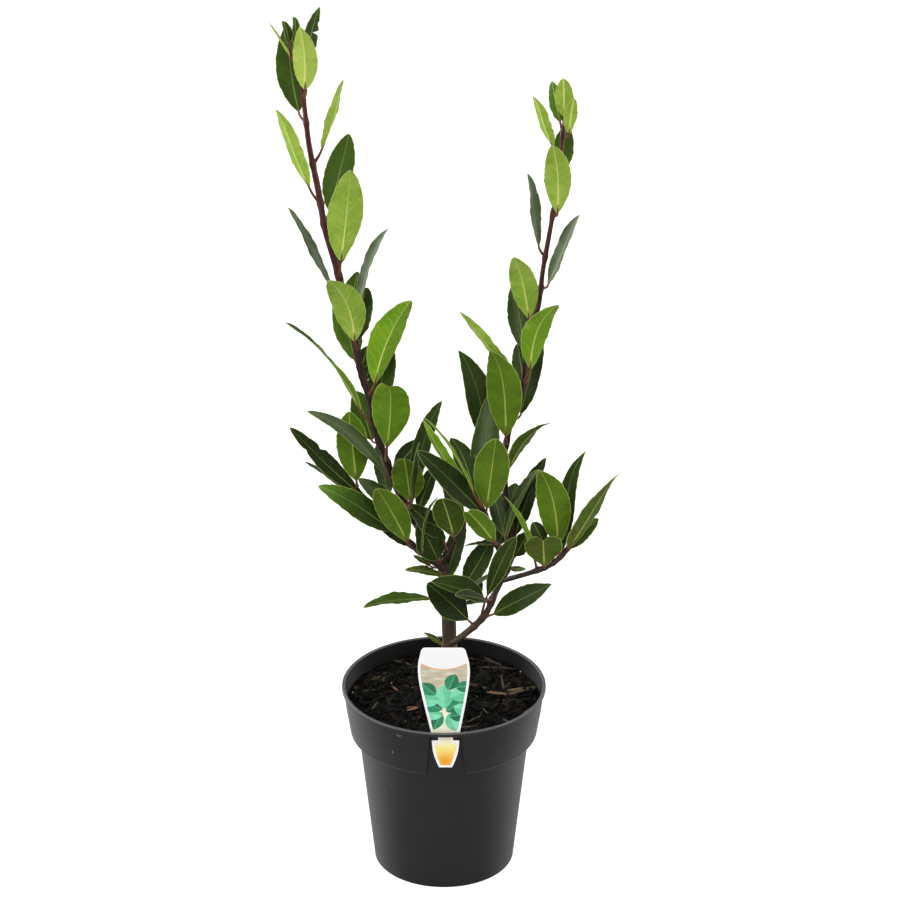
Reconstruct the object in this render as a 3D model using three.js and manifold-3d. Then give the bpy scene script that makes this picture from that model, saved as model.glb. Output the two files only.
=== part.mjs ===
// A bay laurel in its nursery pot. Millimetres, +Z up. The origin is the centre of the pot's underside, and
// -Y is the front. The plant is a short trunk with two tall leaders and four low shoots, each shoot one solid
// with the leaves that grow on it.
import * as THREE from 'three';
import { mergeVertices } from 'three/addons/utils/BufferGeometryUtils.js';
import Module from 'manifold-3d';

const wasm = await Module();
wasm.setup();

// ---- Driving dimensions ----

const SEAT_GAP = 0.3;

const POT = {
  height: 188, wall: 1.8, sides: 42,
  footRadius: 67, bodySlope: 0.109, bodyRadiusAtFloor: 67.8,
  collarBottom: 137.5, collarBottomRadius: 90.5, collarTop: 184.5, collarTopRadius: 96.6,
  lipBottom: 185, lipRadius: 98.5, mouthRadius: 95.2,
  discRadius: 22, channelInner: 25, channelOuter: 58, channelRise: 3, ringInner: 61,
  drainHoles: 6, drainRadius: 5, drainCircle: 48,
};

// The sunk panel in the front of the collar, and the slot above it that the label passes through.
const PANEL = {
  centreX: 1.8, topZ: 182, slotTopZ: 183.5, topWidth: 29.5, bottomWidth: 37, topY: -91.8, bottomY: -87,
};

const SOIL = { surface: 173, relief: 1.6, mound: 3 };

const LABEL = {
  centreX: 1.7, y: -92.9, thickness: 0.8, top: 276, topHalfWidth: 21, cornerRadius: 3,
  widestZ: 252, widestHalfWidth: 24.8, waistZ: 190, waistHalfWidth: 14, neckTop: 183, neckHalfWidth: 7,
  shoulderZ: 178, shoulderHalfWidth: 13, tongueEnd: 149, tongueHalfWidth: 5.9,
};

const LEAF = {
  thickness: 0.8, widest: 0.47, baseTaper: 1.05, tipTaper: 0.63, arch: 0.05, cup: 0.22, wave: 0.03, waves: 2,
  endHalfWidth: 0.6,
  rows: 6, shortRows: 4, shortLength: 45, stalkHalfWidth: 1, stalkThickness: 2, stalkReach: 7,
};

// Stems and leaves are set out by how they look from the front: x and z where they show on the upright plane
// through the pot's axis, and y for how far behind that plane they stand. EYE is the point they are seen from.
const EYE = new THREE.Vector3(5.9, -3148, 1918);

// ---- The stems: x, z, y and radius at each point ----

const TRUNK_ROUTE = [
  [5.3, 110, 0, 5], [5.3, 175, 0, 7], [5.3, 232, 0, 7], [4.6, 262, 0, 6.9], [3.5, 280, 0, 6.7],
  [2, 300, 0, 6.4], [0.2, 314, 0, 6.2], [-0.8, 321, 0, 4.4],
];
const TRUNK_SPUR_ROUTE = [[5, 255, 1, 2.4], [12, 275, 4, 2.2], [18, 288, 4, 2], [21.5, 295, 4, 1.6]];

const LEFT_LEADER_ROUTE = [
  [-1, 316, 2, 4.6], [-9, 333, 8, 4.4], [-29, 366, 14, 4], [-45, 400, 12, 3.6], [-54, 427, 10, 3.4],
  [-61.5, 450, 9, 3.3], [-69, 490, 10, 3.25], [-77, 520, 12, 3.25], [-81.5, 548, 12, 3.2],
  [-91, 592, 12, 3.1], [-99.5, 630, 12, 3], [-107, 660, 12, 3], [-113, 700, 12, 2.5],
  [-120, 740, 13, 2.3], [-124.5, 780, 15, 1.8], [-129, 815, 18, 1.3],
];
const RIGHT_LEADER_ROUTE = [
  [4, 230, -2, 3.2], [13, 236.5, -11, 3.2], [23.5, 245.5, -12, 3.2], [33, 255, -12, 3.1],
  [41.5, 267, -11, 3.1], [47.5, 283, -9, 3], [53, 296, -7, 3], [61, 314, -2, 2.9], [65, 335, 5, 2.9],
  [62, 375, 11, 2.8], [59, 420, 12, 2.7], [60, 440, 12, 2.7], [65, 470, 12, 2.6], [74, 505, 10, 2.6],
  [77, 545, 8, 2.5], [87, 582, 6, 2.4], [91, 620, 4, 2.3], [96.5, 655, 3, 2.2], [101, 685, 2, 2],
  [105.5, 725, 1, 1.8], [108, 758, 0, 1.6], [109, 772, 0, 1.4],
];
const LEFT_LOW_ROUTE = [
  [-1, 315, -4, 3.8], [-10, 320, -8, 3.1], [-25, 333, -12, 2.7], [-37, 346, -13, 2.5],
  [-50, 357, -13, 2.4], [-66, 375, -12, 2.1], [-82, 397, -10, 1.8],
];
const CENTRE_LEFT_ROUTE = [
  [0, 318, -4, 2.3], [1.5, 324, -9, 2.2], [5.5, 332, -13, 2], [13.5, 349, -17, 1.8],
  [19.3, 362, -18, 1.6], [17, 380, -20, 1.4],
];
const CENTRE_ROUTE = [
  [61.5, 316, -3, 2.6], [56, 324, -15, 2.4], [47, 345, -25, 2.1], [39.5, 370, -30, 1.8],
  [36, 378, -31, 1.5],
];
const RIGHT_LOW_ROUTE = [
  [56, 300, -6, 2.6], [66, 303, -13, 2.5], [84, 309, -20, 2.4], [102, 317, -24, 2.2],
  [113, 328, -25, 2.1], [117.5, 334, -25, 1.9],
];

// ---- The leaves: base and tip as x, z, y, then the width and the turn about the midrib ----
// At a turn of 0 the glossy upper side faces the front, and at 180 the pale underside does. `bow` is how far
// the middle of a leaf bends to the right of the straight line from base to tip, as it shows.

const LEFT_LEADER_LEAVES = [
  leaf([-124, 794, 12], [-127, 855, -8], 22, 170, { bow: 1.5 }),
  leaf([-130, 773, 20], [-139, 854, 52], 29, 15, { bow: -3 }),
  leaf([-136.5, 825, 14], [-155, 857, 10], 8, 100),
  leaf([-133, 838, 18], [-131, 861, 20], 8, 20),
  leaf([-138, 838, 12], [-141, 857, 8], 9, 30),
  leaf([-124, 806, 20], [-111, 872, 52], 14, -10, { bow: -1 }),
  leaf([-109.5, 738, 8], [-91, 804, -20], 22, -112, { bow: 2, hook: -3 }),
  leaf([-122, 700, 6], [-149, 777, -12], 20, 132, { bow: -3.5 }),
  leaf([-104, 677, 18], [-85, 752, 58], 27, -15, { bow: 1.5 }),
  leaf([-94.5, 628, 2], [-85, 717, -22], 33, -165, { bow: 2 }),
  leaf([-104, 602, 14], [-141, 682, 20], 20, 67, { bow: -1 }),
  leaf([-84, 585, 16], [-50.6, 661, 24], 22, -70, { bow: 0.5 }),
  leaf([-87, 563, 20], [-79, 618, 68], 20, -10),
  leaf([-82, 546, 16], [-70, 602, 56], 25, -20),
  leaf([-82.5, 548, 2], [-106, 609, -38], 30, 165, { bow: 5.5 }),
  leaf([-82, 529, 16], [-99, 590, 52], 26, 20),
  leaf([-76, 520, 18], [-70, 544, 28], 12, -20),
  leaf([-64, 505, 0], [-30, 589, -22], 31, -155, { bow: -4 }),
  leaf([-77, 476, 6], [-145, 567, 2], 16, 66, { bow: 6 }),
  leaf([-62, 482, 16], [-50, 546, 44], 24, -15),
  leaf([-53, 441, -2], [-50, 504, -30], 36, 175, { widest: 0.58, tipTaper: 0.32, bow: 1.5 }),
  leaf([-67, 447, 12], [-82, 498, 44], 26, 15),
  leaf([-55, 412, 0], [-128, 477, -40], 19, 38, { bow: 6.5 }),
  leaf([-53, 388, 20], [-62, 445, 52], 18, 15),
  leaf([-39, 383, 2], [-46, 426, -14], 16, 170, { tipTaper: 0.4 }),
  leaf([-30, 382, -4], [-27, 446, -16], 26, 160, { bow: -4, cup: 0.7 }),
  leaf([-29, 400, 16], [-4, 489, 24], 19, -25, { bow: -2.2 }),
  leaf([-24, 374, 8], [-7, 423, 20], 16, -20),
  leaf([-46, 416, 14], [-22, 448, 34], 18, -10),
  leaf([-97, 622, 16], [-90, 694, 70], 24, -5),
  leaf([-57, 445, 12], [-50, 500, 66], 24, 0),
  leaf([-73, 508, 14], [-44, 572, 62], 22, -20),
];

const LEFT_LOW_LEAVES = [
  leaf([-84, 405, -10], [-91, 477, -14], 30, 180),
  leaf([-80, 393, -12], [-144, 462, -20], 20, 30, { bow: -4 }),
  leaf([-78, 388, -4], [-130, 424, 0], 16, 70, { bow: 0 }),
  leaf([-50, 353, -17], [-118, 402, -38], 25, 15, { bow: 3.5 }),
  leaf([-38, 365, -6], [-81, 410, -26], 24, 30),
  leaf([-37, 342, -20], [-66, 397, -67], 29, 163),
  leaf([-34, 336, -4], [-76, 368, -6], 20, 25),
  leaf([-12, 315, 0], [-29, 327, 6], 8, 20),
  leaf([-20, 331, -21], [-9, 389, -20], 14, -88, { bow: -3, hook: 4 }),
];

const CENTRE_LEFT_LEAVES = [
  leaf([9.5, 346, -25], [-1.5, 387, -51], 30, 165),
  leaf([-3, 346, -1], [-33, 380, 2], 23, 30),
  leaf([-5, 323, -8], [-19, 362, -4], 28, 25),
  leaf([15, 366, -8], [0, 408, 16], 16, 20),
];

const TRUNK_LEAVES = [
  leaf([5, 297, -9], [24, 364, 25], 15, -25),
  leaf([-0.5, 304, -8], [-37, 311, -14], 14, 55, { bow: -1.5 }),
  leaf([-12, 280, -4], [-77, 273, -16], 25, 65, { bow: 0 }),
  leaf([-1, 230, -8], [-19, 244, -12], 6, 40),
];
const TRUNK_SPUR_LEAVES = [
  leaf([20, 295.5, 0], [47, 347, 4], 25, -20),
  leaf([25, 293, 2], [52, 309, 6], 9, -60),
  leaf([27, 283, 6], [36, 300, 12], 14, -20),
  leaf([15, 288, 4], [14, 301, 8], 10, 0),
];

const CENTRE_LEAVES = [
  leaf([40.5, 376, -32], [49, 449, -64], 33, -178),
  leaf([48, 340.5, -31], [22, 374, -61], 21, 160),
  leaf([36, 372, -26], [-25, 437, -34], 24, 20),
  leaf([29, 391, -34], [-17, 473, -32], 16, 88, { bow: 1.7 }),
  leaf([28, 396, -17], [-10, 469, 8], 18, 20, { arch: 0.1 }),
  leaf([27, 388, -27], [-19, 468, -18], 18, 115, { bow: 1.2 }),
  leaf([36, 381, -5], [43, 493, 14], 27, 10, { bow: -3 }),
];

const RIGHT_LEADER_LEAVES = [
  leaf([108.5, 769, -4], [107.5, 806, -8], 17, 178),
  leaf([105, 763, 4], [97, 802, 14], 14, 20, { bow: -1 }),
  leaf([113, 752, -6], [117, 786, -16], 13, -160),
  leaf([99, 739, 2], [83.5, 788, -18], 16, 132, { bow: -2.5, hook: 2 }),
  leaf([106, 713, 8], [111, 760, 40], 20, -10),
  leaf([103.5, 675, -6], [98.5, 741, -34], 24, 178, { bow: 1.3 }),
  leaf([87, 643, 4], [80, 711, 16], 18, 70, { bow: -2.6, hook: -4 }),
  leaf([95.5, 604, 2], [124, 674, 6], 21, -65, { bow: -0.3 }),
  leaf([78.5, 572, -2], [64.5, 632, -38], 26, 168, { bow: 2 }),
  leaf([80.5, 520, -2], [105, 586, -36], 25, -158, { bow: -6, hook: -3 }),
  leaf([74, 540, 12], [64, 606, 44], 24, 15),
  leaf([74, 502, 14], [68, 546, 38], 18, 15),
  leaf([72, 474, 16], [91, 550, 44], 21, -20),
  leaf([67, 510, 6], [15, 580, -2], 20, 118, { bow: -4.2 }),
  leaf([44, 440, 14], [16.5, 541, 30], 28, 18, { bow: -2 }),
  leaf([58, 451, 0], [46, 540, -18], 33, 175, { hook: 6 }),
  leaf([61, 417, 6], [100, 465, -16], 20, -122, { bow: -5.5 }),
  leaf([57, 347, 5], [44, 400, 35], 18, 20),
  leaf([53, 338, 14], [68, 403, 54], 28, -5),
  leaf([58, 341, -1], [89, 417, -1], 22, -75, { bow: -4, cup: 0.6 }),
  leaf([68, 348, 10], [96, 430, 16], 20, -30),
  leaf([41, 281, -16], [69.5, 346, -31], 18, -10),
  leaf([68, 326, 4], [82, 352, 8], 18, -25),
  leaf([56, 337, -8], [20, 337, -10], 10, 70, { bow: 1.5 }),
  leaf([63, 312.5, -4], [78, 312.5, -8], 6, 0, { arch: 0.2 }),
  leaf([47.5, 264, -14], [103, 294, -34], 27, -25, { bow: -1 }),
  leaf([23.7, 257, -15], [-16, 296, -29], 34, 15),
  leaf([38, 281, -18], [-12, 299, -54], 22, 30),
  leaf([40, 279, -23], [11, 284, -62], 16, 50),
  leaf([38, 277, -8], [14, 274, -4], 12, 70),
  leaf([60, 452, 16], [50, 525, 68], 22, 5),
  leaf([82, 568, 10], [70, 626, 58], 20, 10),
  leaf([101, 682, 4], [99, 735, 50], 18, 0),
];

const RIGHT_LOW_LEAVES = [
  leaf([95.5, 314, -26], [94, 346, -44], 36, 180, { widest: 0.56, tipTaper: 0.4 }),
  leaf([108, 337, -28], [89.5, 417, -48], 32, 178, { tipTaper: 0.8 }),
  leaf([118, 345, -18], [127.5, 432, -4], 17, -8, { bow: -7.5, hook: 4 }),
  leaf([119, 335, -28], [168, 417, -44], 23, -130, { widest: 0.32, tipTaper: 1.1, bow: 0 }),
  leaf([120, 334, -20], [146, 366, -4], 17, -30),
  leaf([95, 340, -12], [84, 362, 0], 16, 10),
  leaf([86, 322, -18], [57.5, 389, -30], 20, 105, { bow: 3 }),
  leaf([112, 330, -20], [96, 400, 34], 22, 10),
];

// ---- Solids ----

// Turns a closed three.js geometry into a solid, with its faces pointing out.
function solidOf(geometry) {
  const bare = geometry.clone();
  bare.deleteAttribute('normal');
  bare.deleteAttribute('uv');
  const merged = mergeVertices(bare, 1e-4);
  const position = merged.attributes.position;
  const corner = [new THREE.Vector3(), new THREE.Vector3(), new THREE.Vector3()];
  const triangles = [];
  let volume = 0;
  for (let i = 0; i < merged.index.count; i += 3) {
    const ids = [0, 1, 2].map((k) => merged.index.getX(i + k));
    if (new Set(ids).size < 3) continue;
    ids.forEach((id, k) => corner[k].fromBufferAttribute(position, id));
    volume += corner[0].dot(corner[1].cross(corner[2]));
    triangles.push(ids);
  }
  if (volume < 0) triangles.forEach((ids) => ids.reverse());
  const mesh = new wasm.Mesh({
    numProp: 3,
    vertProperties: Float32Array.from(position.array),
    triVerts: Uint32Array.from(triangles.flat()),
  });
  return new wasm.Manifold(mesh);
}

function geometryOf(solid) {
  const { vertProperties, triVerts } = solid.getMesh();
  const geometry = new THREE.BufferGeometry();
  geometry.setAttribute('position', new THREE.BufferAttribute(vertProperties, 3));
  geometry.setIndex(new THREE.BufferAttribute(triVerts, 1));
  geometry.computeVertexNormals();
  return geometry;
}

// Keeps the one body that matters when a cut has left a loose scrap beside it.
function largestBody(solid) {
  return solid.decompose().reduce((a, b) => (a.volume() > b.volume() ? a : b));
}

function lathe(profile, sides) {
  const points = profile.map(([r, z]) => new THREE.Vector2(r, z));
  return new THREE.LatheGeometry(points, sides).rotateX(Math.PI / 2);
}

function bar(radius, z0, z1, sides, x, y) {
  const cylinder = new THREE.CylinderGeometry(radius, radius, z1 - z0, sides);
  return solidOf(cylinder.rotateX(Math.PI / 2).translate(x, y, (z0 + z1) / 2));
}

// ---- Pot ----

function bodyRadius(z) {
  return POT.bodyRadiusAtFloor + POT.bodySlope * z;
}

function outerProfile() {
  const ledge = bodyRadius(POT.collarBottom);
  return [
    [POT.footRadius, 0], [bodyRadius(2), 2], [ledge, POT.collarBottom],
    [POT.collarBottomRadius - 3, POT.collarBottom], [POT.collarBottomRadius - 0.9, POT.collarBottom + 0.9],
    [POT.collarBottomRadius, POT.collarBottom + 3], [POT.collarTopRadius, POT.collarTop],
    [POT.lipRadius, POT.lipBottom], [POT.lipRadius, POT.height - 0.6], [POT.lipRadius - 0.6, POT.height],
  ];
}

// The inside of the wall, from the mouth down to the foot of the wall.
function innerProfile(gap) {
  const collarFloor = POT.collarBottom + POT.wall;
  return [
    [POT.collarTopRadius - POT.wall - gap, POT.collarTop],
    [POT.collarBottomRadius - POT.wall - gap, collarFloor + gap],
    [bodyRadius(POT.collarBottom) - POT.wall - gap, collarFloor + gap],
    [bodyRadius(4) - POT.wall - gap, 4],
    [POT.footRadius - POT.wall - 0.4 - gap, POT.wall + gap],
  ];
}

// The floor's upper side, from the wall to the centre: it rises over the channel under the pot.
function floorProfile(gap) {
  const low = POT.wall + gap;
  const high = POT.channelRise + POT.wall + gap;
  return [
    [POT.ringInner + 1, low], [POT.channelOuter + 1, high], [POT.channelInner - 1, high],
    [POT.discRadius - 1, low], [0, low],
  ];
}

function undersideProfile() {
  return [
    [0, 0], [POT.discRadius, 0], [POT.channelInner, POT.channelRise],
    [POT.channelOuter, POT.channelRise], [POT.ringInner, 0],
  ];
}

// A block as wide as the sunk panel, tapering with it, from the panel's face plus `inset` out to `outY`.
function panelBlock(inset, sideGrowth, bottomZ, topZ, outY) {
  const share = (z) => (PANEL.topZ - z) / (PANEL.topZ - POT.collarBottom);
  const halfWidth = (z) => THREE.MathUtils.lerp(PANEL.topWidth, PANEL.bottomWidth, share(z)) / 2 + sideGrowth;
  const backY = (z) => THREE.MathUtils.lerp(PANEL.topY, PANEL.bottomY, share(z)) + inset;
  const block = new THREE.BoxGeometry(1, 1, 1);
  const position = block.attributes.position;
  for (let i = 0; i < position.count; i += 1) {
    const z = position.getZ(i) > 0 ? topZ : bottomZ;
    const x = PANEL.centreX + Math.sign(position.getX(i)) * halfWidth(z);
    position.setXYZ(i, x, position.getY(i) > 0 ? backY(z) : outY, z);
  }
  return solidOf(block);
}

function pot() {
  const shell = [...undersideProfile(), ...outerProfile(), [POT.mouthRadius, POT.height],
    ...innerProfile(0), ...floorProfile(0)];
  const filled = [[0, 0], ...outerProfile(), [0, POT.height]];
  const wallBehindPanel = panelBlock(POT.wall, POT.wall, POT.collarBottom, PANEL.topZ, -POT.lipRadius)
    .intersect(solidOf(lathe(filled, POT.sides)));
  const recess = panelBlock(0, 0, POT.collarBottom - 1, PANEL.slotTopZ, -POT.lipRadius - 5);
  let solid = solidOf(lathe(shell, POT.sides)).add(wallBehindPanel).subtract(recess);
  for (let k = 0; k < POT.drainHoles; k += 1) {
    const angle = ((k + 0.5) / POT.drainHoles) * 2 * Math.PI;
    const x = POT.drainCircle * Math.cos(angle);
    const y = POT.drainCircle * Math.sin(angle);
    solid = solid.subtract(bar(POT.drainRadius, -1, POT.channelRise + POT.wall + 1, 10, x, y));
  }
  return solid;
}

// ---- Potting mix ----

// The height of the lumpy surface above or below its mean level.
function relief(x, y) {
  const lumps = Math.sin(x / 7.3 + 1.1) * Math.cos(y / 8.1) + 0.7 * Math.sin(x / 13.7 - y / 11.3 + 2.4);
  return SOIL.relief * lumps + SOIL.mound * Math.exp(-(x * x + y * y) / 900);
}

function pottingMix(trunkHole) {
  const wallTop = [POT.collarTopRadius - POT.wall - SEAT_GAP - 1.8, SOIL.surface - 1.2];
  const rings = [16, 32, 48, 64, 80].map((r) => [r, SOIL.surface]);
  const profile = [
    [0, SOIL.surface], ...rings, wallTop, ...innerProfile(SEAT_GAP).slice(1),
    ...floorProfile(SEAT_GAP),
  ];
  const geometry = lathe(profile, POT.sides);
  const position = geometry.attributes.position;
  for (let i = 0; i < position.count; i += 1) {
    const x = position.getX(i);
    const y = position.getY(i);
    if (position.getZ(i) > SOIL.surface - 0.1) position.setZ(i, SOIL.surface + relief(x, y));
  }
  const panelHousing = panelBlock(
    POT.wall + SEAT_GAP, POT.wall + SEAT_GAP, POT.collarBottom - SEAT_GAP, POT.height, -POT.lipRadius,
  );
  return solidOf(geometry).subtract(panelHousing).subtract(trunkHole);
}

// ---- Label ----

function plantLabel() {
  const half = [
    [LABEL.topHalfWidth, LABEL.top - LABEL.cornerRadius],
    [LABEL.widestHalfWidth - 0.6, LABEL.widestZ + 10],
    [LABEL.widestHalfWidth, LABEL.widestZ],
    [LABEL.widestHalfWidth - 1.2, LABEL.widestZ - 14],
    [LABEL.widestHalfWidth - 5, LABEL.widestZ - 34],
    [LABEL.waistHalfWidth, LABEL.waistZ],
    [LABEL.neckHalfWidth + 1.5, LABEL.neckTop + 2],
    [LABEL.neckHalfWidth, LABEL.neckTop],
    [LABEL.neckHalfWidth, LABEL.shoulderZ],
    [LABEL.shoulderHalfWidth, LABEL.shoulderZ],
    [LABEL.shoulderHalfWidth - 1, LABEL.shoulderZ - 11],
    [LABEL.tongueHalfWidth + 3.7, LABEL.tongueEnd + 9],
    [LABEL.tongueHalfWidth + 1.6, LABEL.tongueEnd + 3],
    [LABEL.tongueHalfWidth, LABEL.tongueEnd],
  ];
  const shape = new THREE.Shape();
  shape.moveTo(0, LABEL.top);
  shape.lineTo(LABEL.topHalfWidth - LABEL.cornerRadius, LABEL.top);
  shape.quadraticCurveTo(LABEL.topHalfWidth, LABEL.top, ...half[0]);
  half.slice(1).forEach(([x, z]) => shape.lineTo(x, z));
  [...half].reverse().forEach(([x, z]) => shape.lineTo(-x, z));
  shape.quadraticCurveTo(-LABEL.topHalfWidth, LABEL.top, -LABEL.topHalfWidth + LABEL.cornerRadius, LABEL.top);
  shape.closePath();
  const sheet = new THREE.ExtrudeGeometry(shape, {
    depth: LABEL.thickness, bevelEnabled: false, curveSegments: 4,
  });
  return solidOf(sheet.rotateX(Math.PI / 2).translate(LABEL.centreX, LABEL.y + LABEL.thickness, 0));
}

// ---- Stems ----

// Carries a place as it shows from the front along its sight line to where it really is.
function seen([x, z, y]) {
  const t = (y - EYE.y) / -EYE.y;
  return new THREE.Vector3(EYE.x + (x - EYE.x) * t, y, EYE.z + (z - EYE.z) * t);
}

// A round tapering stem along a route: a tube of unit radius, each ring then swelled to the stem's radius.
function stem(route, { sides = 6, pace = 20, growth = 0 } = {}) {
  const curve = new THREE.CatmullRomCurve3(route.map(seen));
  const steps = Math.max(2, Math.round(curve.getLength() / pace));
  const section = Array.from({ length: sides }, (_, k) => {
    const angle = (2 * Math.PI * k) / sides;
    return new THREE.Vector2(Math.cos(angle), Math.sin(angle));
  });
  const geometry = new THREE.ExtrudeGeometry(new THREE.Shape(section), { steps, extrudePath: curve });
  const centres = curve.getSpacedPoints(steps);
  const radii = centres.map((_, k) => {
    const place = curve.getUtoTmapping(k / steps) * (route.length - 1);
    const before = Math.min(Math.floor(place), route.length - 2);
    return THREE.MathUtils.lerp(route[before][3], route[before + 1][3], place - before) + growth;
  });
  const position = geometry.attributes.position;
  const vertex = new THREE.Vector3();
  for (let i = 0; i < position.count; i += 1) {
    vertex.fromBufferAttribute(position, i);
    const gaps = centres.map((centre) => centre.distanceTo(vertex));
    const ring = gaps.indexOf(Math.min(...gaps));
    vertex.sub(centres[ring]).multiplyScalar(radii[ring]).add(centres[ring]);
    position.setXYZ(i, vertex.x, vertex.y, vertex.z);
  }
  return { solid: solidOf(geometry), curve };
}

// ---- Leaves ----

function leaf(base, tip, width, turn, form = {}) {
  return { base, tip, width, turn: (turn * Math.PI) / 180, ...form };
}

// The blade's own axes: along the midrib, out of its upper side, and across it.
function leafFrame({ base, tip, turn }) {
  const start = seen(base);
  const end = seen(tip);
  const length = start.distanceTo(end);
  const along = end.clone().sub(start).normalize();
  const toEye = EYE.clone().sub(start.clone().lerp(end, 0.5));
  toEye.addScaledVector(along, -toEye.dot(along)).normalize();
  const side = new THREE.Vector3().crossVectors(along, toEye);
  const up = toEye.multiplyScalar(Math.cos(turn)).addScaledVector(side, Math.sin(turn));
  const across = new THREE.Vector3().crossVectors(along, up);
  return { start, length, along, up, across, side };
}

// A point of the blade: u runs across it from -1 to 1, v along it from 0 to 1, lift above its middle surface.
function bladePoint(frame, spec, u, v, lift) {
  const { cup = LEAF.cup, hook = 0, bow = 0, widest = LEAF.widest, tipTaper = LEAF.tipTaper } = spec;
  const { arch = LEAF.arch * Math.cos(spec.turn) ** 2 } = spec;
  const middle = 4 * v * (1 - v);
  const warped = v ** (Math.log(0.5) / Math.log(widest));
  const outline = (4 * warped * (1 - warped)) ** THREE.MathUtils.lerp(LEAF.baseTaper, tipTaper, v);
  const halfWidth = Math.max((spec.width / 2) * outline, LEAF.endHalfWidth);
  const wave = Math.sin(2 * Math.PI * (LEAF.waves * v + 0.2 * u));
  const ripple = LEAF.wave * spec.width * outline * u * u * wave;
  const rise = frame.length * arch * middle + cup * Math.abs(u) * halfWidth + ripple + lift;
  return frame.start.clone()
    .addScaledVector(frame.along, frame.length * v)
    .addScaledVector(frame.side, bow * middle)
    .addScaledVector(frame.across, u * halfWidth + hook * v ** 4)
    .addScaledVector(frame.up, rise);
}

// One leaf as a single strip: a stalk from the middle of the stem that bears it, then a thin arched blade
// with a fold along its midrib. Both faces are split into triangles alike.
function leafSolid(frame, spec, root) {
  const rows = frame.length > LEAF.shortLength ? LEAF.rows : LEAF.shortRows;
  const upper = [];
  const lower = [];
  for (const u of [-1, 0, 1]) {
    for (const [sheet, side] of [[upper, 0.5], [lower, -0.5]]) {
      const corner = root.clone().addScaledVector(frame.across, u * LEAF.stalkHalfWidth);
      sheet.push(corner.addScaledVector(frame.up, side * LEAF.stalkThickness));
    }
  }
  for (let row = 0; row <= rows; row += 1) {
    const v = (1 - Math.cos((Math.PI * row) / rows)) / 2;
    const halfThickness = (row === 0 ? LEAF.stalkThickness : LEAF.thickness) / 2;
    for (const u of [-1, 0, 1]) {
      upper.push(bladePoint(frame, spec, u, v, halfThickness));
      lower.push(bladePoint(frame, spec, u, v, -halfThickness));
    }
  }
  const under = upper.length;
  const triangles = [];
  const quad = (a, b, c, d) => triangles.push(a, b, c, a, c, d);
  for (let first = 0; first < under - 3; first += 3) {
    for (const a of [first, first + 1]) {
      quad(a, a + 1, a + 4, a + 3);
      triangles.push(under + a, under + a + 4, under + a + 1, under + a, under + a + 3, under + a + 4);
    }
    quad(first, first + 3, under + first + 3, under + first);
    quad(first + 2, under + first + 2, under + first + 5, first + 5);
  }
  const last = under - 3;
  for (const a of [0, 1]) {
    quad(a, under + a, under + a + 1, a + 1);
    quad(last + a, last + a + 1, under + last + a + 1, under + last + a);
  }
  const geometry = new THREE.BufferGeometry().setFromPoints([...upper, ...lower]);
  geometry.setIndex(triangles);
  return solidOf(geometry);
}

// The place on the middle of the stem that a leaf's stalk grows from.
function stalkRoot(frame, curve) {
  const aim = frame.start.clone().addScaledVector(frame.along, -LEAF.stalkReach);
  const places = curve.getSpacedPoints(Math.ceil(curve.getLength() / 2));
  return places.reduce((a, b) => (a.distanceTo(aim) < b.distanceTo(aim) ? a : b));
}

function withLeaves(wood, curve, specs) {
  return specs.reduce((solid, spec) => {
    const frame = leafFrame(spec);
    return solid.add(leafSolid(frame, spec, stalkRoot(frame, curve)));
  }, wood);
}

// A shoot seats on the stem that carries it with a small gap, as deep as that stem's surface.
function shoot(route, leaves, carriers, options) {
  const { solid, curve } = stem(route, options);
  const grown = withLeaves(solid, curve, leaves);
  return largestBody(carriers.reduce((rest, carrier) => rest.subtract(carrier), grown));
}

// ---- Assembly ----

const trunkOptions = { sides: 8, pace: 24 };
const trunkStem = stem(TRUNK_ROUTE, trunkOptions);
const spurStem = stem(TRUNK_SPUR_ROUTE);
const trunkClearance = stem(TRUNK_ROUTE, { ...trunkOptions, growth: SEAT_GAP + 0.05 }).solid;
const leftLeaderClearance = stem(LEFT_LEADER_ROUTE, { growth: SEAT_GAP + 0.05 }).solid;
const leftLowClearance = stem(LEFT_LOW_ROUTE, { growth: SEAT_GAP + 0.05 }).solid;
const rightLeaderClearance = stem(RIGHT_LEADER_ROUTE, { growth: SEAT_GAP + 0.05 }).solid;
const trunkBody = withLeaves(
  withLeaves(trunkStem.solid.add(spurStem.solid), trunkStem.curve, TRUNK_LEAVES),
  spurStem.curve,
  TRUNK_SPUR_LEAVES,
);

const LEAF_GREEN = { color: 0x3f6b2c, roughness: 0.45, metalness: 0 };
const pieces = [
  ['pot', pot(), { color: 0x2b2c2e, roughness: 0.6, metalness: 0 }],
  ['potting_mix', pottingMix(trunkClearance), { color: 0x241a12, roughness: 0.95, metalness: 0 }],
  ['plant_label', plantLabel(), { color: 0xf2efe2, roughness: 0.4, metalness: 0 }],
  ['trunk', largestBody(trunkBody), { color: 0x4d4a2e, roughness: 0.7, metalness: 0 }],
  ['left_leader', shoot(LEFT_LEADER_ROUTE, LEFT_LEADER_LEAVES, [trunkClearance]), LEAF_GREEN],
  ['right_leader', shoot(RIGHT_LEADER_ROUTE, RIGHT_LEADER_LEAVES, [trunkClearance]), LEAF_GREEN],
  ['left_low_shoot', shoot(LEFT_LOW_ROUTE, LEFT_LOW_LEAVES, [trunkClearance, leftLeaderClearance]), LEAF_GREEN],
  ['centre_left_shoot',
    shoot(CENTRE_LEFT_ROUTE, CENTRE_LEFT_LEAVES, [trunkClearance, leftLeaderClearance, leftLowClearance]),
    LEAF_GREEN],
  ['centre_shoot', shoot(CENTRE_ROUTE, CENTRE_LEAVES, [rightLeaderClearance]), LEAF_GREEN],
  ['right_low_shoot', shoot(RIGHT_LOW_ROUTE, RIGHT_LOW_LEAVES, [rightLeaderClearance]), LEAF_GREEN],
];

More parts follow.
